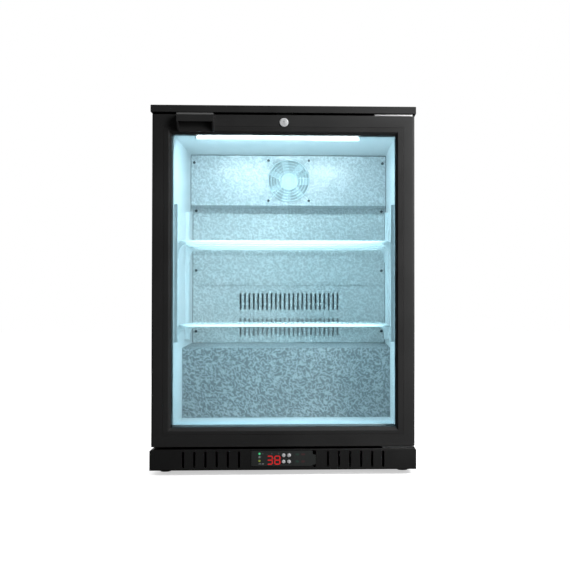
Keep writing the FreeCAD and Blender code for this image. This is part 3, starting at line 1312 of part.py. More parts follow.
PIECES = {
    "outer_cabinet": outer_cabinet,
    "worktop_lid": worktop_lid,
    "rear_panel": rear_panel,
    "rear_grille": rear_grille,
    "inner_liner": inner_liner,
    "insulation_foam": insulation_foam,
    "breaker_strip": breaker_strip,
    "step_cover": step_cover,
    "evaporator_fan_cover": evaporator_fan_cover,
    "rear_duct_panel": rear_duct_panel,
    "return_air_panel": return_air_panel,
    "panel_rails": panel_rails,
    "screws": screws,
    "fan_guard": fan_guard,
    "evaporator_fan_frame": evaporator_fan_frame,
    "evaporator_fan_rotor": evaporator_fan_rotor,
    "evaporator_coil": evaporator_coil,
    "light_housing": light_housing,
    "light_diffuser": light_diffuser,
    "shelf_pilasters": shelf_pilasters,
    "shelf_clips": shelf_clips,
    "upper_shelf": lambda: wire_shelf(UPPER_SUPPORT),
    "lower_shelf": lambda: wire_shelf(LOWER_SUPPORT),
    "door_frame": door_frame,
    "door_backing": door_backing,
    "glass_bezel": glass_bezel,
    "glass_panes": glass_panes,
    "glass_spacer": glass_spacer,
    "door_gasket": door_gasket,
    "door_handle": door_handle,
    "hinge_bushes": hinge_bushes,
    "lock_barrel": lock_barrel,
    "lock_plug": lock_plug,
    "lock_cam": lock_cam,
    "lock_strike": lock_strike,
    "top_hinge_plate": top_hinge_plate,
    "bottom_hinge_bracket": bottom_hinge_bracket,
    "kick_plinth": kick_plinth,
    "controller_bezel": controller_bezel,
    "controller_housing": controller_housing,
    "display_digits": display_digits,
    "indicator_lights": indicator_lights,
    "base_pan": base_pan,
    "compressor": compressor,
    "compressor_mounts": compressor_mounts,
    "condenser_coil": condenser_coil,
    "condenser_fan_shroud": condenser_fan_shroud,
    "condenser_fan_motor": condenser_fan_motor,
    "condenser_fan_blade": condenser_fan_blade,
    "drip_tray": drip_tray,
    "refrigerant_pipes": refrigerant_pipes,
    "power_inlet": power_inlet,
}


def write(name, shape):
    """Write one node; a node of several solids is kept as one compound."""
    solids = shape.Solids
    piece = solids[0] if len(solids) == 1 else Part.makeCompound(solids)
    piece.exportStep(f"parts/{name}.step")


def main():
    os.makedirs("parts", exist_ok=True)
    for name, make in PIECES.items():
        write(name, make())
    for name, (x, y) in zip(FOOT_NAMES, foot_places()):
        write(name, levelling_foot(x, y))
    for names, z in zip(BUTTON_NAMES, BUTTON_ROWS):
        for name, x in zip(names, BUTTON_COLUMNS):
            write(name, button(x, z))


main()
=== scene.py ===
import json
import math

import bmesh
import bpy
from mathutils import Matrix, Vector, noise

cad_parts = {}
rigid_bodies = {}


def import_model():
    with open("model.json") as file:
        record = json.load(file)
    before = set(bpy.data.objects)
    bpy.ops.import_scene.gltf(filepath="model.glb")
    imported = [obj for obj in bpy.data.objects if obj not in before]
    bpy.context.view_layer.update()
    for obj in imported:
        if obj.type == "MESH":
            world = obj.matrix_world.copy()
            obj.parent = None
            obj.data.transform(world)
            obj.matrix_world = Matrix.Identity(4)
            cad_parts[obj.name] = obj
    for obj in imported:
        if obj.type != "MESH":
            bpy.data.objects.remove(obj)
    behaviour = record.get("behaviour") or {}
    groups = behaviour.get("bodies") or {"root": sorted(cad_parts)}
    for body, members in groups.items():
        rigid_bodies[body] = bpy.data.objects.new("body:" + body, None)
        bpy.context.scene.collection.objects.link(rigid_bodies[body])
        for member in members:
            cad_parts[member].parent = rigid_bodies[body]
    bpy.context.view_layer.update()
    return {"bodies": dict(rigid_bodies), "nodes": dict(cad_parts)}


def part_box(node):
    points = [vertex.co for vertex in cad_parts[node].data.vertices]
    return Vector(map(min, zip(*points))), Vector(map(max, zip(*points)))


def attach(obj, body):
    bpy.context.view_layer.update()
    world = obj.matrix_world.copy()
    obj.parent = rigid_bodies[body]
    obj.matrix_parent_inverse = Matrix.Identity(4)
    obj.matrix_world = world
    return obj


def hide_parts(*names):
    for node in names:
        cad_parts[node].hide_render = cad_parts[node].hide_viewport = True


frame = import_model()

NODES = frame["nodes"]

# Camera, in metres and degrees
CAMERA_PLACE = (0.0818, -2.635, 0.3848)
CAMERA_YAW = 2.6
CAMERA_PITCH = 1.05
CAMERA_LENS = 66.95
CAMERA_SHIFT = -0.1459

# Interior light: colour, strength of the tube to the eye and in mirrors, powers in watts
LAMP_COLOR = (0.524, 0.865, 1.0)
TUBE_EDGE = 0.4
TUBE_SEEN = 6.0
TUBE_MIRRORED = 42.0
LAMP_POWER = 1.1
CAVITY_FILL_POWER = 2.3
CAVITY_LOW_POWER = 0.55
BEHIND_FAN_POWER = 0.05

# Clean-up of the meshes: metres and radians
WELD_DISTANCE = 0.00001
SHEET_WELD_DISTANCE = 0.000005
CUT_TOLERANCE = 0.000001
SHARP_ANGLE = math.radians(32)
BEVEL_ANGLE = math.radians(40)
SCREW_SHARP_ANGLE = math.radians(35)
SHEET_SHARP_ANGLE = math.radians(50)

# Pressed relief of the aluminium sheets: first in metres, then in the noise's own units
EMBOSS_PITCH = 0.0062
EMBOSS_GRID = 0.0018
EMBOSS_DEPTH = 0.00035
RIDGE_WIDTH = 0.32
BEND_SCALE = 0.7
BEND_AMOUNT = 0.6
BEND_OFFSET = Vector((7.0, 3.0, 1.0))

# Small parts added for looks, in metres
SCREW_RADIUS = 0.0038
SCREW_INSET = 0.012
SCREW_SEGMENTS = 20
MARK_RELIEF = 0.0001
# width and standoff of the dark strips painted as gap shadows round the interior panels
GAP_SHADOW_HALF = 0.0006
GAP_SHADOW_RELIEF = 0.0002

# Studio: powers in watts
KEY_POWER = 52.0
SIDE_POWER = 6.5
FILL_POWER = 1.0
TOP_POWER = 20.0
BACK_POWER = 25.0
AMBIENT = 0.03

# Floor, in metres; its bounce is what it gives back to the part, and the last is the reach of its painted
# contact shadow
FLOOR_REACH = 12.0
FLOOR_BOUNCE = (0.12, 0.12, 0.12)
PAINTED_SHADOW_REACH = 0.16


# ---------------------------------------------------------------- node helpers


class Shader:
    """A material's node tree, built by adding nodes whose inputs are values or other nodes' outputs."""

    def __init__(self, name):
        self.material = bpy.data.materials.new(name)
        self.material.use_nodes = True
        self.tree = self.material.node_tree
        self.tree.nodes.clear()
        self.output = self.add("OutputMaterial")

    def add(self, kind, settings=None, **inputs):
        """New node; settings are its properties, inputs are matched by name with _ for a space."""
        node = self.tree.nodes.new("ShaderNode" + kind)
        for key, value in (settings or {}).items():
            setattr(node, key, value)
        for key, value in inputs.items():
            self.plug(node, key.replace("_", " "), value)
        return node

    def plug(self, node, key, value):
        """Set or link one input of a node, by name or number."""
        socket = node.inputs[key]
        if isinstance(value, bpy.types.NodeSocket):
            self.tree.links.new(value, socket)
        elif hasattr(socket.default_value, "__len__") and not hasattr(value, "__len__"):
            socket.default_value = [value] * len(socket.default_value)
        elif hasattr(value, "__len__") and len(socket.default_value) == 4 and len(value) == 3:
            socket.default_value = (*value, 1.0)
        else:
            socket.default_value = value

    def coordinates(self, stretch=(1.0, 1.0, 1.0)):
        """Position in the part's own frame, in metres, scaled per axis."""
        place = self.add("TexCoord").outputs["Object"]
        return self.add("Mapping", Vector=place, Scale=stretch).outputs["Vector"]

    def noise(self, where, scale, detail=3.0, roughness=0.55):
        """Cloudy noise from 0 to 1."""
        node = self.add("TexNoise", Vector=where, Scale=scale, Detail=detail, Roughness=roughness)
        return node.outputs["Fac"]

    def spread(self, value, low, high, start=0.3, end=0.7):
        """Value mapped from start…end to low…high."""
        node = self.add("MapRange", Value=value)
        for key, amount in (("From Min", start), ("From Max", end), ("To Min", low), ("To Max", high)):
            node.inputs[key].default_value = amount
        return node.outputs["Result"]

    def blend(self, amount, first, second):
        """Colour between two colours."""
        node = self.add("Mix", {"data_type": "RGBA"})
        self.plug(node, 0, amount)
        self.plug(node, 6, first)
        self.plug(node, 7, second)
        return node.outputs[2]

    def sum(self, first, second, weight=1.0):
        """First plus weight times second."""
        return self.add_math("MULTIPLY_ADD", second, weight, first)

    def add_math(self, operation, *values):
        """One arithmetic step."""
        node = self.add("Math", {"operation": operation})
        for i, value in enumerate(values):
            self.plug(node, i, value)
        return node.outputs[0]

    def relief(self, height, strength, depth):
        """Normal disturbed by a height map; depth is in metres."""
        node = self.add("Bump", Height=height, Strength=strength, Distance=depth)
        return node.outputs["Normal"]

    def finish(self, surface):
        """Plug the surface into the output and hand over the material."""
        self.plug(self.output, "Surface", surface)
        return self.material


def tinted(color, factor):
    """Colour made lighter or darker."""
    return tuple(min(1.0, c * factor) for c in color)


def coated(name, color, roughness=0.45, grain=900.0, relief=0.25, depth=0.0003, mottle=6.0, variation=0.10,
           metallic=0.0, coat=0.0, gloss_spread=0.06):
    """Moulded, painted or plated surface: cloudy tone, uneven gloss and a fine grain."""
    s = Shader(name)
    where = s.coordinates()
    clouds = s.noise(where, mottle, 4.0)
    grains = s.noise(where, grain, 3.0, 0.6)
    tone = s.blend(s.spread(clouds, 0.0, 1.0), tinted(color, 1 - variation), tinted(color, 1 + variation))
    tone = s.blend(s.spread(grains, 0.0, 0.25), tone, tinted(color, 1.35))
    gloss = s.sum(s.spread(clouds, roughness - gloss_spread, roughness + gloss_spread), grains, 0.05)
    shader = s.add(
        "BsdfPrincipled",
        Base_Color=tone,
        Roughness=gloss,
        Metallic=metallic,
        Normal=s.relief(grains, relief, depth),
    )
    shader.inputs["Coat Weight"].default_value = coat
    shader.inputs["Coat Roughness"].default_value = 0.12
    return s.finish(shader.outputs[0])


def stucco(name, color, shade, roughness=0.36, metallic=0.45, mirror=0.0):
    """Embossed aluminium: the tone is darker in the hollows of the relief as painted shade, and a level
    lacquer layer mirrors the lamp softly.
    """
    s = Shader(name)
    where = s.coordinates()
    height = s.add("Attribute", {"attribute_name": "relief"}).outputs["Fac"]
    fine = s.noise(where, 700.0, 3.0)
    clouds = s.noise(where, 9.0, 3.0)
    tone = s.blend(s.spread(clouds, 0.0, 1.0), tinted(color, 0.95), tinted(color, 1.04))
    # painted shade: the low spots of the relief take the colour darkened by the shade factor
    tone = s.blend(s.spread(height, 1.0, 0.0, 0.0, 0.9), tone, tinted(color, shade))
    shader = s.add(
        "BsdfPrincipled",
        Base_Color=tone,
        Metallic=metallic,
        Roughness=s.sum(s.spread(clouds, roughness - 0.04, roughness + 0.05), fine, 0.06),
        Normal=s.relief(fine, 0.15, 0.0003),
        Coat_Weight=mirror,
        Coat_Roughness=0.15,
    )
    s.plug(shader, "Coat Normal", s.add("CombineXYZ", X=0.0, Y=-1.0, Z=0.0).outputs[0])
    return s.finish(shader.outputs[0])


def galvanised(name, color):
    """Zinc-coated sheet with its spangle."""
    s = Shader(name)
    where = s.coordinates()
    bend = s.add("TexNoise", Vector=where, Scale=60.0, Detail=2.0).outputs["Color"]
    warped = s.add("MixRGB", {"blend_type": "ADD"}, Fac=0.02, Color1=where, Color2=bend).outputs[0]
    spangle = s.add("TexVoronoi", Vector=warped, Scale=85.0).outputs["Color"]
    value = s.add("RGBToBW", Color=spangle).outputs[0]
    tone = s.blend(s.spread(value, 0.0, 1.0, 0.1, 0.9), tinted(color, 0.82), tinted(color, 1.15))
    shader = s.add(
        "BsdfPrincipled",
        Base_Color=tone,
        Metallic=0.85,
        Roughness=s.spread(value, 0.34, 0.52, 0.1, 0.9),
        Normal=s.relief(s.noise(where, 400.0), 0.12, 0.0003),
    )
    return s.finish(shader.outputs[0])


def brushed(name, color, along="Z", roughness=0.34, metallic=0.85):
    """Satin metal with fine lines along X or Z."""
    stretch = {"X": (25.0, 900.0, 900.0), "Z": (900.0, 900.0, 25.0)}[along]
    s = Shader(name)
    lines = s.noise(s.coordinates(stretch), 1.0, 4.0, 0.6)
    clouds = s.noise(s.coordinates(), 14.0)
    tone = s.blend(s.spread(lines, 0.0, 1.0), tinted(color, 0.86), tinted(color, 1.08))
    shader = s.add(
        "BsdfPrincipled",
        Base_Color=tone,
        Metallic=metallic,
        Roughness=s.sum(s.spread(clouds, roughness - 0.05, roughness + 0.07), lines, 0.08),
        Normal=s.relief(lines, 0.18, 0.0002),
    )
    return s.finish(shader.outputs[0])


def foam(name, color):
    """Rigid foam with small open cells."""
    s = Shader(name)
    where = s.coordinates()
    cells = s.add("TexVoronoi", Vector=where, Scale=500.0).outputs["Distance"]
    clouds = s.noise(where, 20.0)
    tone = s.blend(s.spread(clouds, 0.0, 1.0), tinted(color, 0.85), tinted(color, 1.08))
    shader = s.add("BsdfPrincipled", Base_Color=tone, Roughness=0.9, Normal=s.relief(cells, 0.6, 0.0008))
    return s.finish(shader.outputs[0])


def clear_glass(name):
    """Thin clear pane: lets light through and mirrors a little, more at a low angle."""
    s = Shader(name)
    dust = s.noise(s.coordinates(), 40.0, 4.0)
    tint = s.blend(s.spread(dust, 0.0, 1.0), (0.955, 0.975, 0.975), (0.975, 0.985, 0.985))
    through = s.add("BsdfTransparent", Color=tint).outputs[0]
    mirror = s.add("BsdfGlossy", Color=(0.9, 0.95, 1.0), Roughness=s.spread(dust, 0.0, 0.03)).outputs[0]
    edge = s.add("Fresnel", IOR=1.32).outputs[0]
    mixed = s.add("MixShader")
    s.plug(mixed, 0, edge)
    s.plug(mixed, 1, through)
    s.plug(mixed, 2, mirror)
    return s.finish(mixed.outputs[0])


def glowing(name, color, strength, surround=(0.9, 0.9, 0.9)):
    """Lit plastic with a slightly uneven glow."""
    s = Shader(name)
    uneven = s.spread(s.noise(s.coordinates(), 70.0), 0.92, 1.08)
    shader = s.add("BsdfPrincipled", Base_Color=surround, Roughness=0.35, Emission_Color=color)
    s.plug(shader, "Emission Strength", s.add_math("MULTIPLY", uneven, strength))
    return s.finish(shader.outputs[0])


def lamp_tube(name, color):
    """Diffuser of the light bar: a white line along its upper half to the eye, strong in mirrors."""
    s = Shader(name)
    path = s.add("LightPath")
    low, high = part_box("light_diffuser")
    height = s.add("SeparateXYZ", Vector=s.coordinates()).outputs["Z"]
    line = s.spread(height, TUBE_EDGE, TUBE_SEEN, low.z * 0.6 + high.z * 0.4, low.z * 0.4 + high.z * 0.6)
    uneven = s.spread(s.noise(s.coordinates(), 70.0), 0.95, 1.05)
    strength = s.add_math("MULTIPLY", path.outputs["Is Camera Ray"], line)
    strength = s.sum(strength, path.outputs["Is Glossy Ray"], TUBE_MIRRORED)
    shader = s.add("BsdfPrincipled", Base_Color=(0.9, 0.9, 0.9), Roughness=0.35, Emission_Color=color)
    s.plug(shader, "Emission Strength", s.add_math("MULTIPLY", strength, uneven))
    return s.finish(shader.outputs[0])


def status_lamps(name):
    """Three status lamps told apart by height: green, grey and yellow-green."""
    s = Shader(name)
    low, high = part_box("indicator_lights")
    height = s.add("SeparateXYZ", Vector=s.coordinates()).outputs["Z"]
    lower_third = (low.z * 2 + high.z) / 3
    upper_third = (low.z + high.z * 2) / 3
    tone = s.blend(s.add_math("GREATER_THAN", height, lower_third), (0.16, 0.20, 0.03), (0.13, 0.14, 0.14))
    tone = s.blend(s.add_math("GREATER_THAN", height, upper_third), tone, (0.06, 0.50, 0.20))
    uneven = s.spread(s.noise(s.coordinates(), 900.0), 0.5, 0.8)
    shader = s.add("BsdfPrincipled", Base_Color=tone, Roughness=0.3, Emission_Color=tone)
    s.plug(shader, "Emission Strength", uneven)
    return s.finish(shader.outputs[0])


# ---------------------------------------------------------------- materials

DARK = (0.018, 0.018, 0.018)
BLACK = (0.010, 0.010, 0.011)
WHITE = (0.66, 0.645, 0.65)

MOULDED = coated("moulded_dark", DARK, roughness=0.42)
LID = coated("lid_dark", (0.020, 0.020, 0.020), roughness=0.40)
PLINTH = coated("plinth_black", (0.008, 0.008, 0.008), roughness=0.42)
BODY_PAINT = coated("body_paint", (0.018, 0.018, 0.018), roughness=0.46, grain=420.0, relief=0.12)
BEAD = coated("glazing_bead", (0.020, 0.020, 0.020), roughness=0.36)
HINGE_ZINC = brushed("hinge_zinc", (0.85, 0.85, 0.85), "X", 0.45)
# painted shade: the lock strike is coloured near-black for the dark slit under the lid where it sits
STRIKE_PAINTED_SHADE = coated("strike_in_painted_shade", (0.006, 0.006, 0.006), roughness=0.5)
SOFT_BLACK = coated("soft_rubber", (0.016, 0.016, 0.017), roughness=0.65, grain=600.0, relief=0.35)
# black of the glass spacer's sealant, also the painted shade of the screw recesses
BLACK_SEALANT_AND_RECESS_SHADE = coated("black_sealant_and_painted_recess_shade", (0.004, 0.004, 0.005), roughness=0.5)
BLACK_PLASTIC = coated("black_plastic", BLACK, roughness=0.38, grain=700.0)
BLACK_ENAMEL = coated(
    "black_enamel", (0.008, 0.008, 0.009), roughness=0.22, grain=240.0, relief=0.15, coat=0.6
)
LACQUER = coated("white_lacquer", WHITE, roughness=0.40, grain=260.0, relief=0.05, variation=0.02)
STRIP = coated("mouth_strip", (0.62, 0.66, 0.68), roughness=0.45, variation=0.03)
WIRE = coated(
    "white_wire", (0.86, 0.88, 0.88), roughness=0.28, grain=350.0, relief=0.12, variation=0.03, coat=0.3
)
LIGHT_PLASTIC = coated("light_plastic", (0.70, 0.72, 0.73), roughness=0.4, variation=0.03)
FAN_WHITE = coated("fan_white", (0.86, 0.88, 0.88), roughness=0.4, variation=0.03)
# the third number is the painted shade in the hollows of the relief
PANEL = stucco("embossed_panel", (0.82, 0.84, 0.84), 0.74)
FAN_PANEL = stucco("embossed_fan_cover", (0.72, 0.73, 0.74), 0.74, mirror=0.5)
STEP_PANEL = stucco("embossed_step", (0.46, 0.47, 0.48), 0.50, roughness=0.42)
FINS = brushed("fin_aluminium", (0.74, 0.76, 0.77), "Z", 0.36)
SATIN = brushed("satin_steel", (0.80, 0.82, 0.83), "Z", 0.36, 0.30)
PLATED = brushed("plated_steel", (0.60, 0.61, 0.62), "X", 0.36)
ZINC = galvanised("zinc_sheet", (0.50, 0.51, 0.52))
SCREW_STEEL = brushed("screw_steel", (0.14, 0.14, 0.145), "X", 0.40)
# painted shadow for the gaps round the interior panels
GAP_SHADOW = coated("painted_gap_shade", (0.030, 0.036, 0.038), roughness=0.55)
LOCK_METAL = brushed("lock_metal", (0.90, 0.91, 0.92), "X", 0.34, 0.35)
COPPER = coated(
    "copper", (0.78, 0.36, 0.20), roughness=0.30, metallic=1.0, grain=300.0, relief=0.1, mottle=40.0,
    variation=0.18,
)
FOAM = foam("rigid_foam", (0.80, 0.72, 0.45))
GLASS = clear_glass("clear_glass")
TUBE_GLOW = lamp_tube("diffuser_glow", (0.80, 0.95, 1.0))
DIGIT_GLOW = glowing("digit_glow", (0.75, 0.02, 0.02), 0.75, (0.12, 0.01, 0.01))
STATUS_LAMPS = status_lamps("status_lamps")
MARK_GREY = coated("mark_grey", (0.10, 0.11, 0.11), roughness=0.4)
MARK_PALE = coated("mark_pale", (0.30, 0.31, 0.31), roughness=0.4)
# painted reflections on the right of the controller face
PAINTED_REFLECTION_GREEN = coated("painted_reflection_green", (0.030, 0.075, 0.055), roughness=0.4)
PAINTED_REFLECTION_RED = coated("painted_reflection_red", (0.085, 0.030, 0.034), roughness=0.4)
CONTROL_FACE = coated("control_face", (0.030, 0.033, 0.032), roughness=0.34)
BUTTON = coated("button_silver", (0.62, 0.63, 0.64), roughness=0.30, variation=0.05, coat=0.3)

# Each CAD node's material and the width of its softened edges, in millimetres
LOOKS = {
    "outer_cabinet": (BODY_PAINT, 0.25),
    "worktop_lid": (LID, 0.6),
    "rear_panel": (ZINC, 0.25),
    "rear_grille": (BODY_PAINT, 0.2),
    "inner_liner": (LACQUER, 0.0),
    "insulation_foam": (FOAM, 0.0),
    "breaker_strip": (STRIP, 0.4),
    "step_cover": (STEP_PANEL, 0.0),
    "evaporator_fan_cover": (FAN_PANEL, 0.3),
    "rear_duct_panel": (PANEL, 0.2),
    "return_air_panel": (PANEL, 0.2),
    "panel_rails": (PLATED, 0.2),
    "screws": (SCREW_STEEL, 0.15),
    "fan_guard": (WIRE, 0.0),
    "evaporator_fan_frame": (FAN_WHITE, 0.6),
    "evaporator_fan_rotor": (FAN_WHITE, 0.2),
    "evaporator_coil": (FINS, 0.0),
    "light_housing": (LIGHT_PLASTIC, 0.4),
    "light_diffuser": (TUBE_GLOW, 0.0),
    "shelf_pilasters": (SATIN, 0.15),
    "shelf_clips": (SATIN, 0.2),
    "upper_shelf": (WIRE, 0.0),
    "lower_shelf": (WIRE, 0.0),
    "door_frame": (MOULDED, 0.9),
    "door_backing": (MOULDED, 0.5),
    "glass_bezel": (BEAD, 0.3),
    "glass_panes": (GLASS, 0.0),
    "glass_spacer": (BLACK_SEALANT_AND_RECESS_SHADE, 0.2),
    "door_gasket": (SOFT_BLACK, 0.3),
    "door_handle": (MOULDED, 0.7),
    "hinge_bushes": (BLACK_PLASTIC, 0.3),
    "lock_barrel": (LOCK_METAL, 0.2),
    "lock_plug": (LOCK_METAL, 0.15),
    "lock_cam": (PLATED, 0.3),
    "lock_strike": (STRIKE_PAINTED_SHADE, 0.3),
    "top_hinge_plate": (HINGE_ZINC, 0.3),
    "bottom_hinge_bracket": (PLATED, 0.3),
    "kick_plinth": (PLINTH, 0.5),
    "controller_bezel": (CONTROL_FACE, 0.4),
    "controller_housing": (BLACK_PLASTIC, 0.4),
    "display_digits": (DIGIT_GLOW, 0.0),
    "indicator_lights": (STATUS_LAMPS, 0.0),
    "button_set": (BUTTON, 0.0),
    "button_up": (BUTTON, 0.0),
    "button_down": (BUTTON, 0.0),
    "button_light": (BUTTON, 0.0),
    "base_pan": (ZINC, 0.3),
    "foot_front_left": (BLACK_PLASTIC, 0.5),
    "foot_rear_left": (BLACK_PLASTIC, 0.5),
    "foot_front_right": (BLACK_PLASTIC, 0.5),
    "foot_rear_right": (BLACK_PLASTIC, 0.5),
    "compressor": (BLACK_ENAMEL, 0.8),
    "compressor_mounts": (SOFT_BLACK, 0.6),
    "condenser_coil": (FINS, 0.0),
    "condenser_fan_shroud": (ZINC, 0.2),
    "condenser_fan_motor": (BLACK_ENAMEL, 0.4),
    "condenser_fan_blade": (LIGHT_PLASTIC, 0.3),
    "drip_tray": (BLACK_PLASTIC, 0.5),
    "refrigerant_pipes": (COPPER, 0.0),
    "power_inlet": (BLACK_PLASTIC, 0.3),
}


def shading_group(limit):
    """Modifier nodes that keep an edge sharp where its faces meet at more than the limit, in radians.

    It runs after the weld, because the loaded meshes have no shared edges before it.
    """
    tree = bpy.data.node_groups.new("sharp_by_angle", "GeometryNodeTree")
    tree.interface.new_socket("Geometry", in_out="INPUT", socket_type="NodeSocketGeometry")
    tree.interface.new_socket("Geometry", in_out="OUTPUT", socket_type="NodeSocketGeometry")
    start = tree.nodes.new("NodeGroupInput")
    end = tree.nodes.new("NodeGroupOutput")
    bend = tree.nodes.new("GeometryNodeInputMeshEdgeAngle")
    gentle = tree.nodes.new("FunctionNodeCompare")
    gentle.operation = "LESS_THAN"
    gentle.inputs["B"].default_value = limit
    shade = tree.nodes.new("GeometryNodeSetShadeSmooth")
    shade.domain = "EDGE"
    tree.links.new(bend.outputs["Unsigned Angle"], gentle.inputs["A"])
    tree.links.new(start.outputs[0], shade.inputs["Geometry"])
    tree.links.new(gentle.outputs[0], shade.inputs["Shade Smooth"])
    tree.links.new(shade.outputs[0], end.inputs[0])
    return tree


SHARP_BY_ANGLE = shading_group(SHARP_ANGLE)


def dress(node, material, bevel_mm):
    """Give a CAD node its material, smooth shading between gentle faces and softened edges."""
    node.data.materials.clear()
    node.data.materials.append(material)
    normals = node.data.attributes.get("custom_normal")
    if normals:
        node.data.attributes.remove(normals)
    node.data.shade_smooth()
    weld = node.modifiers.new("join", "WELD")
    weld.merge_threshold = WELD_DISTANCE
    node.modifiers.new("sharp_by_angle", "NODES").node_group = SHARP_BY_ANGLE
    if bevel_mm:
        bevel = node.modifiers.new("soft_edges", "BEVEL")
        bevel.width = bevel_mm / 1000
        bevel.segments = 2
        bevel.limit_method = "ANGLE"
        bevel.angle_limit = BEVEL_ANGLE
        bevel.harden_normals = True
        bevel.use_clamp_overlap = True


for name, (material, bevel_mm) in LOOKS.items():
    dress(NODES[name], material, bevel_mm)


# ---------------------------------------------------------------- small parts added for looks


def add_piece(name, mesh, materials, body):
    """New piece that rides on a body."""
    for material in materials:
        mesh.materials.append(material)
    piece = bpy.data.objects.new(name, mesh)
    bpy.context.scene.collection.objects.link(piece)
    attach(piece, body)
    return piece


def closed_mesh(name, bm):
    """Mesh of separate closed solids, with their normals outwards."""
    bmesh.ops.recalc_face_normals(bm, faces=bm.faces)
    mesh = bpy.data.meshes.new(name)
    bm.to_mesh(mesh)
    bm.free()
    return mesh


def plate(bm, outline, y_front, y_rear, index=0):
    """Thin plate with an (x, z) outline, facing the front."""
    front = [bm.verts.new((x, y_front, z)) for x, z in outline]
    rear = [bm.verts.new((x, y_rear, z)) for x, z in outline]
    faces = [bm.faces.new(front), bm.faces.new(rear[::-1])]
    count = len(outline)
    for i in range(count):
        following = (i + 1) % count
        faces.append(bm.faces.new((front[following], front[i], rear[i], rear[following])))
    for face in faces:
        face.material_index = index


def round_outline(x, z, half_width, half_height, corner, steps=4):
    """Outline of a rectangle with round corners."""
    points = []
    quarters = ((1, 1, 0), (-1, 1, 90), (-1, -1, 180), (1, -1, 270))
    for side, level, start in quarters:
        for i in range(steps + 1):
            angle = math.radians(start + 90 * i / steps)
            px = x + side * (half_width - corner) + corner * math.cos(angle)
            pz = z + level * (half_height - corner) + corner * math.sin(angle)
            points.append((px, pz))
    return points


def screw_heads(name, places, y_face, radius, body):
    """Pan heads with a dark cross painted as the shade in their cross recess, on a face that looks to the
    rear, one mesh for all of them.
    """
    bm = bmesh.new()
    profile = ((1.0, 0.0), (1.0, 0.35), (0.86, 0.72), (0.55, 0.92))
    height = radius * 0.5
    for x, z in places:
        rings = []
        for reach, lift in profile:
            ring = []
            for i in range(SCREW_SEGMENTS):
                angle = 2 * math.pi * i / SCREW_SEGMENTS
                across = x + reach * radius * math.cos(angle)
                upwards = z + reach * radius * math.sin(angle)
                ring.append(bm.verts.new((across, y_face + lift * height, upwards)))
            rings.append(ring)
        crown = bm.verts.new((x, y_face + height, z))
        for low, high in zip(rings, rings[1:]):
            for i in range(SCREW_SEGMENTS):
                j = (i + 1) % SCREW_SEGMENTS
                bm.faces.new((low[i], high[i], high[j], low[j]))
        for i in range(SCREW_SEGMENTS):
            bm.faces.new((rings[-1][i], crown, rings[-1][(i + 1) % SCREW_SEGMENTS]))
        # painted shade: a dark cross plate stands in for the shadow inside the cross recess
        arm, half = radius * 0.55, radius * 0.12
        for wide, tall in ((arm, half), (half, arm)):
            outline = round_outline(x, z, wide, tall, half * 0.9, 2)
            plate(bm, outline, y_face + height * 0.8, y_face + height * 1.03, 1)
    mesh = closed_mesh(name, bm)
    mesh.shade_smooth()
    mesh.set_sharp_from_angle(angle=SCREW_SHARP_ANGLE)
    add_piece(name, mesh, (PLATED, BLACK_SEALANT_AND_RECESS_SHADE), body)


def rear_screws():
    """Screws round the rear sheet and the grille."""
    low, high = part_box("rear_panel")
    grille_low, grille_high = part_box("rear_grille")
    places = []
    for side in (low.x + SCREW_INSET, high.x - SCREW_INSET):
        places += [(side, low.z + 0.02 + i * (high.z - low.z - 0.04) / 3) for i in range(4)]
        places += [(side, grille_low.z + 0.02), (side, grille_high.z - 0.02)]
    places += [(x, high.z - 0.02) for x in (-0.14, 0.0, 0.14)]
    screw_heads("rear_screws", places, high.y, SCREW_RADIUS, "cabinet")


def control_marks():
    """Faint generic marks beside the digits: small dots and bars, no lettering; the green and red bars on
    the right are painted reflections.
    """
    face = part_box("controller_bezel")[0].y
    depth = (face - MARK_RELIEF, face + MARK_RELIEF)
    bm = bmesh.new()
    for x in (-0.0465, -0.0262, -0.0108):
        plate(bm, round_outline(x, 0.0490, 0.0011, 0.0017, 0.0008), *depth, 0)
    for x in (-0.0535, -0.0465):
        plate(bm, round_outline(x, 0.0262, 0.0024, 0.0009, 0.0006), *depth, 1)
    # painted reflection: faint green and red bar groups on the right of the face
    for z in (0.047, 0.031):
        for x, index in ((0.031, 2), (0.044, 3)):
            for step in (-1, 0, 1):
                half_height = 0.0026 - 0.0006 * abs(step)
                plate(bm, round_outline(x + 0.0026 * step, z, 0.0009, half_height, 0.0007), *depth, index)
    mark_and_reflection_colours = (MARK_GREY, MARK_PALE, PAINTED_REFLECTION_GREEN, PAINTED_REFLECTION_RED)
    add_piece("control_marks", closed_mesh("control_marks", bm), mark_and_reflection_colours, "cabinet")


def gap_shadow_strips():
    """Dark strips painted as the shadow in the gaps between the edges of the interior panels and the liner.
    """
    bm = bmesh.new()
    corner = GAP_SHADOW_HALF * 0.5
    for node in ("evaporator_fan_cover", "rear_duct_panel", "return_air_panel"):
        low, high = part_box(node)
        face = low.y - GAP_SHADOW_RELIEF
        half_height = (high.z - low.z) / 2 - 0.001
        for x in (low.x, high.x):
            outline = round_outline(x, (low.z + high.z) / 2, GAP_SHADOW_HALF, half_height, corner)
            plate(bm, outline, face, face + 0.003)
    low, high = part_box("evaporator_fan_cover")
    outline = round_outline(0.0, high.z - GAP_SHADOW_HALF, (high.x - low.x) / 2, GAP_SHADOW_HALF, corner)
    plate(bm, outline, low.y - GAP_SHADOW_RELIEF, low.y + 0.002)
    add_piece("gap_shadow_strips", closed_mesh("gap_shadow_strips", bm), (GAP_SHADOW,), "cabinet")


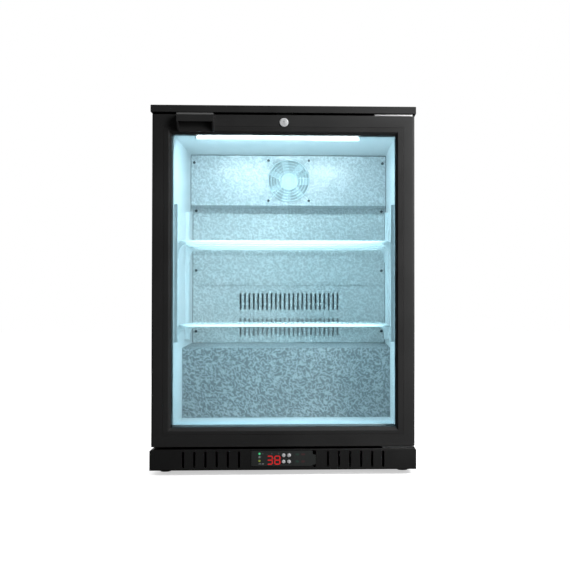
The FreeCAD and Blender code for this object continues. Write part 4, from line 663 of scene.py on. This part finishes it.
def outer_faces(bm, middle, side):
    """Faces of a sheet that look forwards, and up above its middle (side 1) or down below it (side -1)."""
    chosen = []
    for face in bm.faces:
        lift = (face.calc_center_median().z - middle.z) * side
        if abs(face.normal.x) > 0.01:
            continue
        if face.normal.y < -0.7 or (face.normal.z * side > 0.7 and lift > 0):
            chosen.append(face)
    return chosen


def sliced(bm, faces, direction, spacing):
    """Cut faces into strips square to a direction; each cut works only on what lies beyond the last one."""
    reach = [direction.dot(v.co) for face in faces for v in face.verts]
    start, length = min(reach), max(reach) - min(reach)
    count = int(length / spacing)
    finished = []
    for i in range(1, count):
        place = start + length * i / count
        parts = dict.fromkeys(faces)
        for face in faces:
            parts.update(dict.fromkeys(face.edges))
            parts.update(dict.fromkeys(face.verts))
        cut = bmesh.ops.bisect_plane(
            bm, geom=list(parts), dist=CUT_TOLERANCE, plane_co=direction * place, plane_no=direction
        )
        made = [part for part in cut["geom"] if isinstance(part, bmesh.types.BMFace)]
        finished += [face for face in made if direction.dot(face.calc_center_median()) <= place]
        faces = [face for face in made if direction.dot(face.calc_center_median()) > place]
    return finished + faces


def worm_height(place):
    """Height of the embossing from 0 to 1: meandering ridges along the zero lines of a noise."""
    spot = Vector((place.x, place.y + place.z, 0.0)) / EMBOSS_PITCH
    bend = noise.noise(spot * BEND_SCALE + BEND_OFFSET)
    field = noise.noise(spot + Vector((bend, -bend, 0.5)) * BEND_AMOUNT)
    crest = max(0.0, 1.0 - abs(field) / RIDGE_WIDTH)
    return crest * crest * (3 - 2 * crest)


def embossed_sheet(name, node, material, side):
    """Copy of a sheet-metal node whose outer faces are cut into a fine grid and pressed with a relief.

    Only corners inside the grid move, and only inwards, so the edges stay closed and on the CAD surface.
    """
    bm = bmesh.new()
    bm.from_mesh(NODES[node].data)
    bmesh.ops.remove_doubles(bm, verts=bm.verts, dist=SHEET_WELD_DISTANCE)
    low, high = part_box(node)
    groups = {}
    for face in outer_faces(bm, (low + high) / 2, side):
        groups.setdefault(tuple(round(n, 2) for n in face.normal), []).append(face)
    sideways = Vector((1.0, 0.0, 0.0))
    pressed = []
    for normal, faces in groups.items():
        faces = sliced(bm, faces, sideways, EMBOSS_GRID)
        pressed += sliced(bm, faces, sideways.cross(Vector(normal)).normalized(), EMBOSS_GRID)
    inside = set(pressed)
    relief = bm.verts.layers.float.new("relief")
    corners = dict.fromkeys(v for face in pressed for v in face.verts)
    moves = []
    for v in corners:
        height = worm_height(v.co)
        # the stucco materials paint shade into the low spots from this height
        v[relief] = height
        if all(face in inside for face in v.link_faces):
            moves.append((v, v.normal * (EMBOSS_DEPTH * (1 - height))))
    for v, step in moves:
        v.co -= step
    mesh = bpy.data.meshes.new(name)
    bm.to_mesh(mesh)
    bm.free()
    mesh.shade_smooth()
    mesh.set_sharp_from_angle(angle=SHEET_SHARP_ANGLE)
    piece = add_piece(name, mesh, (material,), "cabinet")
    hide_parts(node)


rear_screws()
control_marks()
gap_shadow_strips()
embossed_sheet("fan_cover_sheet", "evaporator_fan_cover", FAN_PANEL, -1)
embossed_sheet("duct_sheet", "rear_duct_panel", PANEL, 0)
embossed_sheet("return_air_sheet", "return_air_panel", PANEL, 0)
embossed_sheet("step_sheet", "step_cover", STEP_PANEL, 1)


# ---------------------------------------------------------------- studio


def area_light(name, place, target, size, power, color=(1.0, 1.0, 1.0)):
    """Soft rectangular light aimed at a point."""
    data = bpy.data.lights.new(name, "AREA")
    data.shape = "RECTANGLE"
    data.size, data.size_y = size
    data.energy = power
    data.color = color
    lamp = bpy.data.objects.new(name, data)
    lamp.location = place
    lamp.rotation_mode = "QUATERNION"
    lamp.rotation_quaternion = (Vector(target) - Vector(place)).to_track_quat("-Z", "Y")
    bpy.context.scene.collection.objects.link(lamp)
    return lamp


def make_world():
    """White for the camera, a dim even grey for everything else."""
    world = bpy.data.worlds.new("studio")
    world.use_nodes = True
    nodes, links = world.node_tree.nodes, world.node_tree.links
    nodes.clear()
    seen = nodes.new("ShaderNodeBackground")
    seen.inputs["Color"].default_value = (1.0, 1.0, 1.0, 1.0)
    dim = nodes.new("ShaderNodeBackground")
    dim.inputs["Color"].default_value = (1.0, 1.0, 1.0, 1.0)
    dim.inputs["Strength"].default_value = AMBIENT
    path = nodes.new("ShaderNodeLightPath")
    mix = nodes.new("ShaderNodeMixShader")
    output = nodes.new("ShaderNodeOutputWorld")
    links.new(path.outputs["Is Camera Ray"], mix.inputs[0])
    links.new(dim.outputs[0], mix.inputs[1])
    links.new(seen.outputs[0], mix.inputs[2])
    links.new(mix.outputs[0], output.inputs["Surface"])
    bpy.context.scene.world = world


def make_floor():
    """Pale floor that reads as white to the camera, with a painted contact shadow: a soft darkening under
    the part.
    """
    mesh = bpy.data.meshes.new("floor")
    signs = ((-1, -1), (1, -1), (1, 1), (-1, 1))
    corners = [(x * FLOOR_REACH, y * FLOOR_REACH, 0) for x, y in signs]
    mesh.from_pydata(corners, [], [(0, 1, 2, 3)])
    floor = bpy.data.objects.new("floor", mesh)
    bpy.context.scene.collection.objects.link(floor)
    s = Shader("pale_floor")
    clouds = s.noise(s.coordinates(), 3.0)
    tone = s.blend(s.spread(clouds, 0.0, 1.0), (0.80, 0.81, 0.82), (0.84, 0.84, 0.85))
    diffuse = s.add("BsdfDiffuse", Color=tone).outputs[0]
    bounce = s.add("BsdfDiffuse", Color=FLOOR_BOUNCE).outputs[0]
    # painted shadow: ambient occlusion dims the floor's glow near the part
    near = s.add("AmbientOcclusion", {"samples": 8}, Distance=PAINTED_SHADOW_REACH).outputs["AO"]
    painted_shadow_brightness = s.spread(near, 0.55, 1.02, 0.0, 0.9)
    glow = s.add("Emission", Color=(1.0, 1.0, 1.0), Strength=painted_shadow_brightness).outputs[0]
    lit = s.add("AddShader")
    s.plug(lit, 0, diffuse)
    s.plug(lit, 1, glow)
    choice = s.add("MixShader")
    s.plug(choice, 0, s.add("LightPath").outputs["Is Camera Ray"])
    s.plug(choice, 1, bounce)
    s.plug(choice, 2, lit.outputs[0])
    mesh.materials.append(s.finish(choice.outputs[0]))


def make_camera():
    """Camera at the photographed angle; its sideways lens shift is only for that one place."""
    data = bpy.data.cameras.new("camera")
    data.lens = CAMERA_LENS
    data.sensor_width = 36.0
    camera = bpy.data.objects.new("camera", data)
    camera.location = CAMERA_PLACE
    camera.rotation_euler = (math.radians(90 + CAMERA_PITCH), 0.0, -math.radians(CAMERA_YAW))
    bpy.context.scene.collection.objects.link(camera)
    bpy.context.scene.camera = camera
    driver = data.driver_add("shift_x").driver
    driver.type = "SCRIPTED"
    variable = driver.variables.new()
    variable.name = "x"
    variable.type = "TRANSFORMS"
    variable.targets[0].id = camera
    variable.targets[0].transform_type = "LOC_X"
    driver.expression = f"{CAMERA_SHIFT} if abs(x - {CAMERA_PLACE[0]}) < 0.0005 else 0.0"


def cavity_light(name, place, target, size, power):
    """Light inside the cavity that only brightens surfaces: neither seen nor mirrored."""
    lamp = area_light(name, place, target, size, power, LAMP_COLOR)
    lamp.visible_camera = False
    lamp.visible_glossy = False
    lamp.parent = frame["bodies"]["cabinet"]


def centre(low, high):
    """Middle of a box."""
    return (low + high) / 2


def make_cavity_lights():
    """Light under the tube, even light from the mouth, fills below the lower shelf and behind the fan."""
    low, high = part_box("light_diffuser")
    under_tube = (centre(low, high).x, centre(low, high).y, low.z - 0.002)
    cavity_light("cavity_lamp", under_tube, (0.0, 0.1, 0.35), (high.x - low.x, 0.02), LAMP_POWER)

    low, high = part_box("breaker_strip")
    mouth = (centre(low, high).x, low.y - 0.012, centre(low, high).z)
    cavity_light("cavity_fill", mouth, (mouth[0], 0.2, mouth[2]), (0.46, 0.62), CAVITY_FILL_POWER)

    low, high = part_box("lower_shelf")
    below = (centre(low, high).x, centre(low, high).y, low.z - 0.01)
    cavity_light("cavity_low", below, (below[0], below[1], 0.0), (0.42, 0.30), CAVITY_LOW_POWER)

    low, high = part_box("evaporator_fan_rotor")
    behind = (centre(low, high).x, high.y + 0.002, centre(low, high).z)
    cavity_light("behind_fan", behind, (behind[0], 1.0, behind[2]), (0.09, 0.09), BEHIND_FAN_POWER)


def make_studio_lights():
    """Big soft key and a nearer side light from the right, weak fill, light from above and from behind."""
    middle = (0.0, -0.1, 0.45)
    area_light("key", (1.7, -1.95, 1.8), middle, (1.1, 1.1), KEY_POWER)
    area_light("side", (0.95, -1.15, 0.75), (0.2, -0.2, 0.45), (0.6, 0.6), SIDE_POWER)
    area_light("fill", (-2.2, -1.8, 0.9), middle, (1.5, 1.5), FILL_POWER)
    area_light("top", (0.2, 0.3, 2.6), (0.0, 0.0, 0.8), (2.0, 2.0), TOP_POWER)
    area_light("back", (-1.6, 2.5, 1.5), (0.0, 0.2, 0.4), (1.8, 1.8), BACK_POWER)


make_world()
make_floor()
make_studio_lights()
make_cavity_lights()
make_camera()

scene = bpy.context.scene
scene.view_settings.view_transform = "Standard"
scene.cycles.use_denoising = True
scene.cycles.max_bounces = 10
scene.cycles.transparent_max_bounces = 16
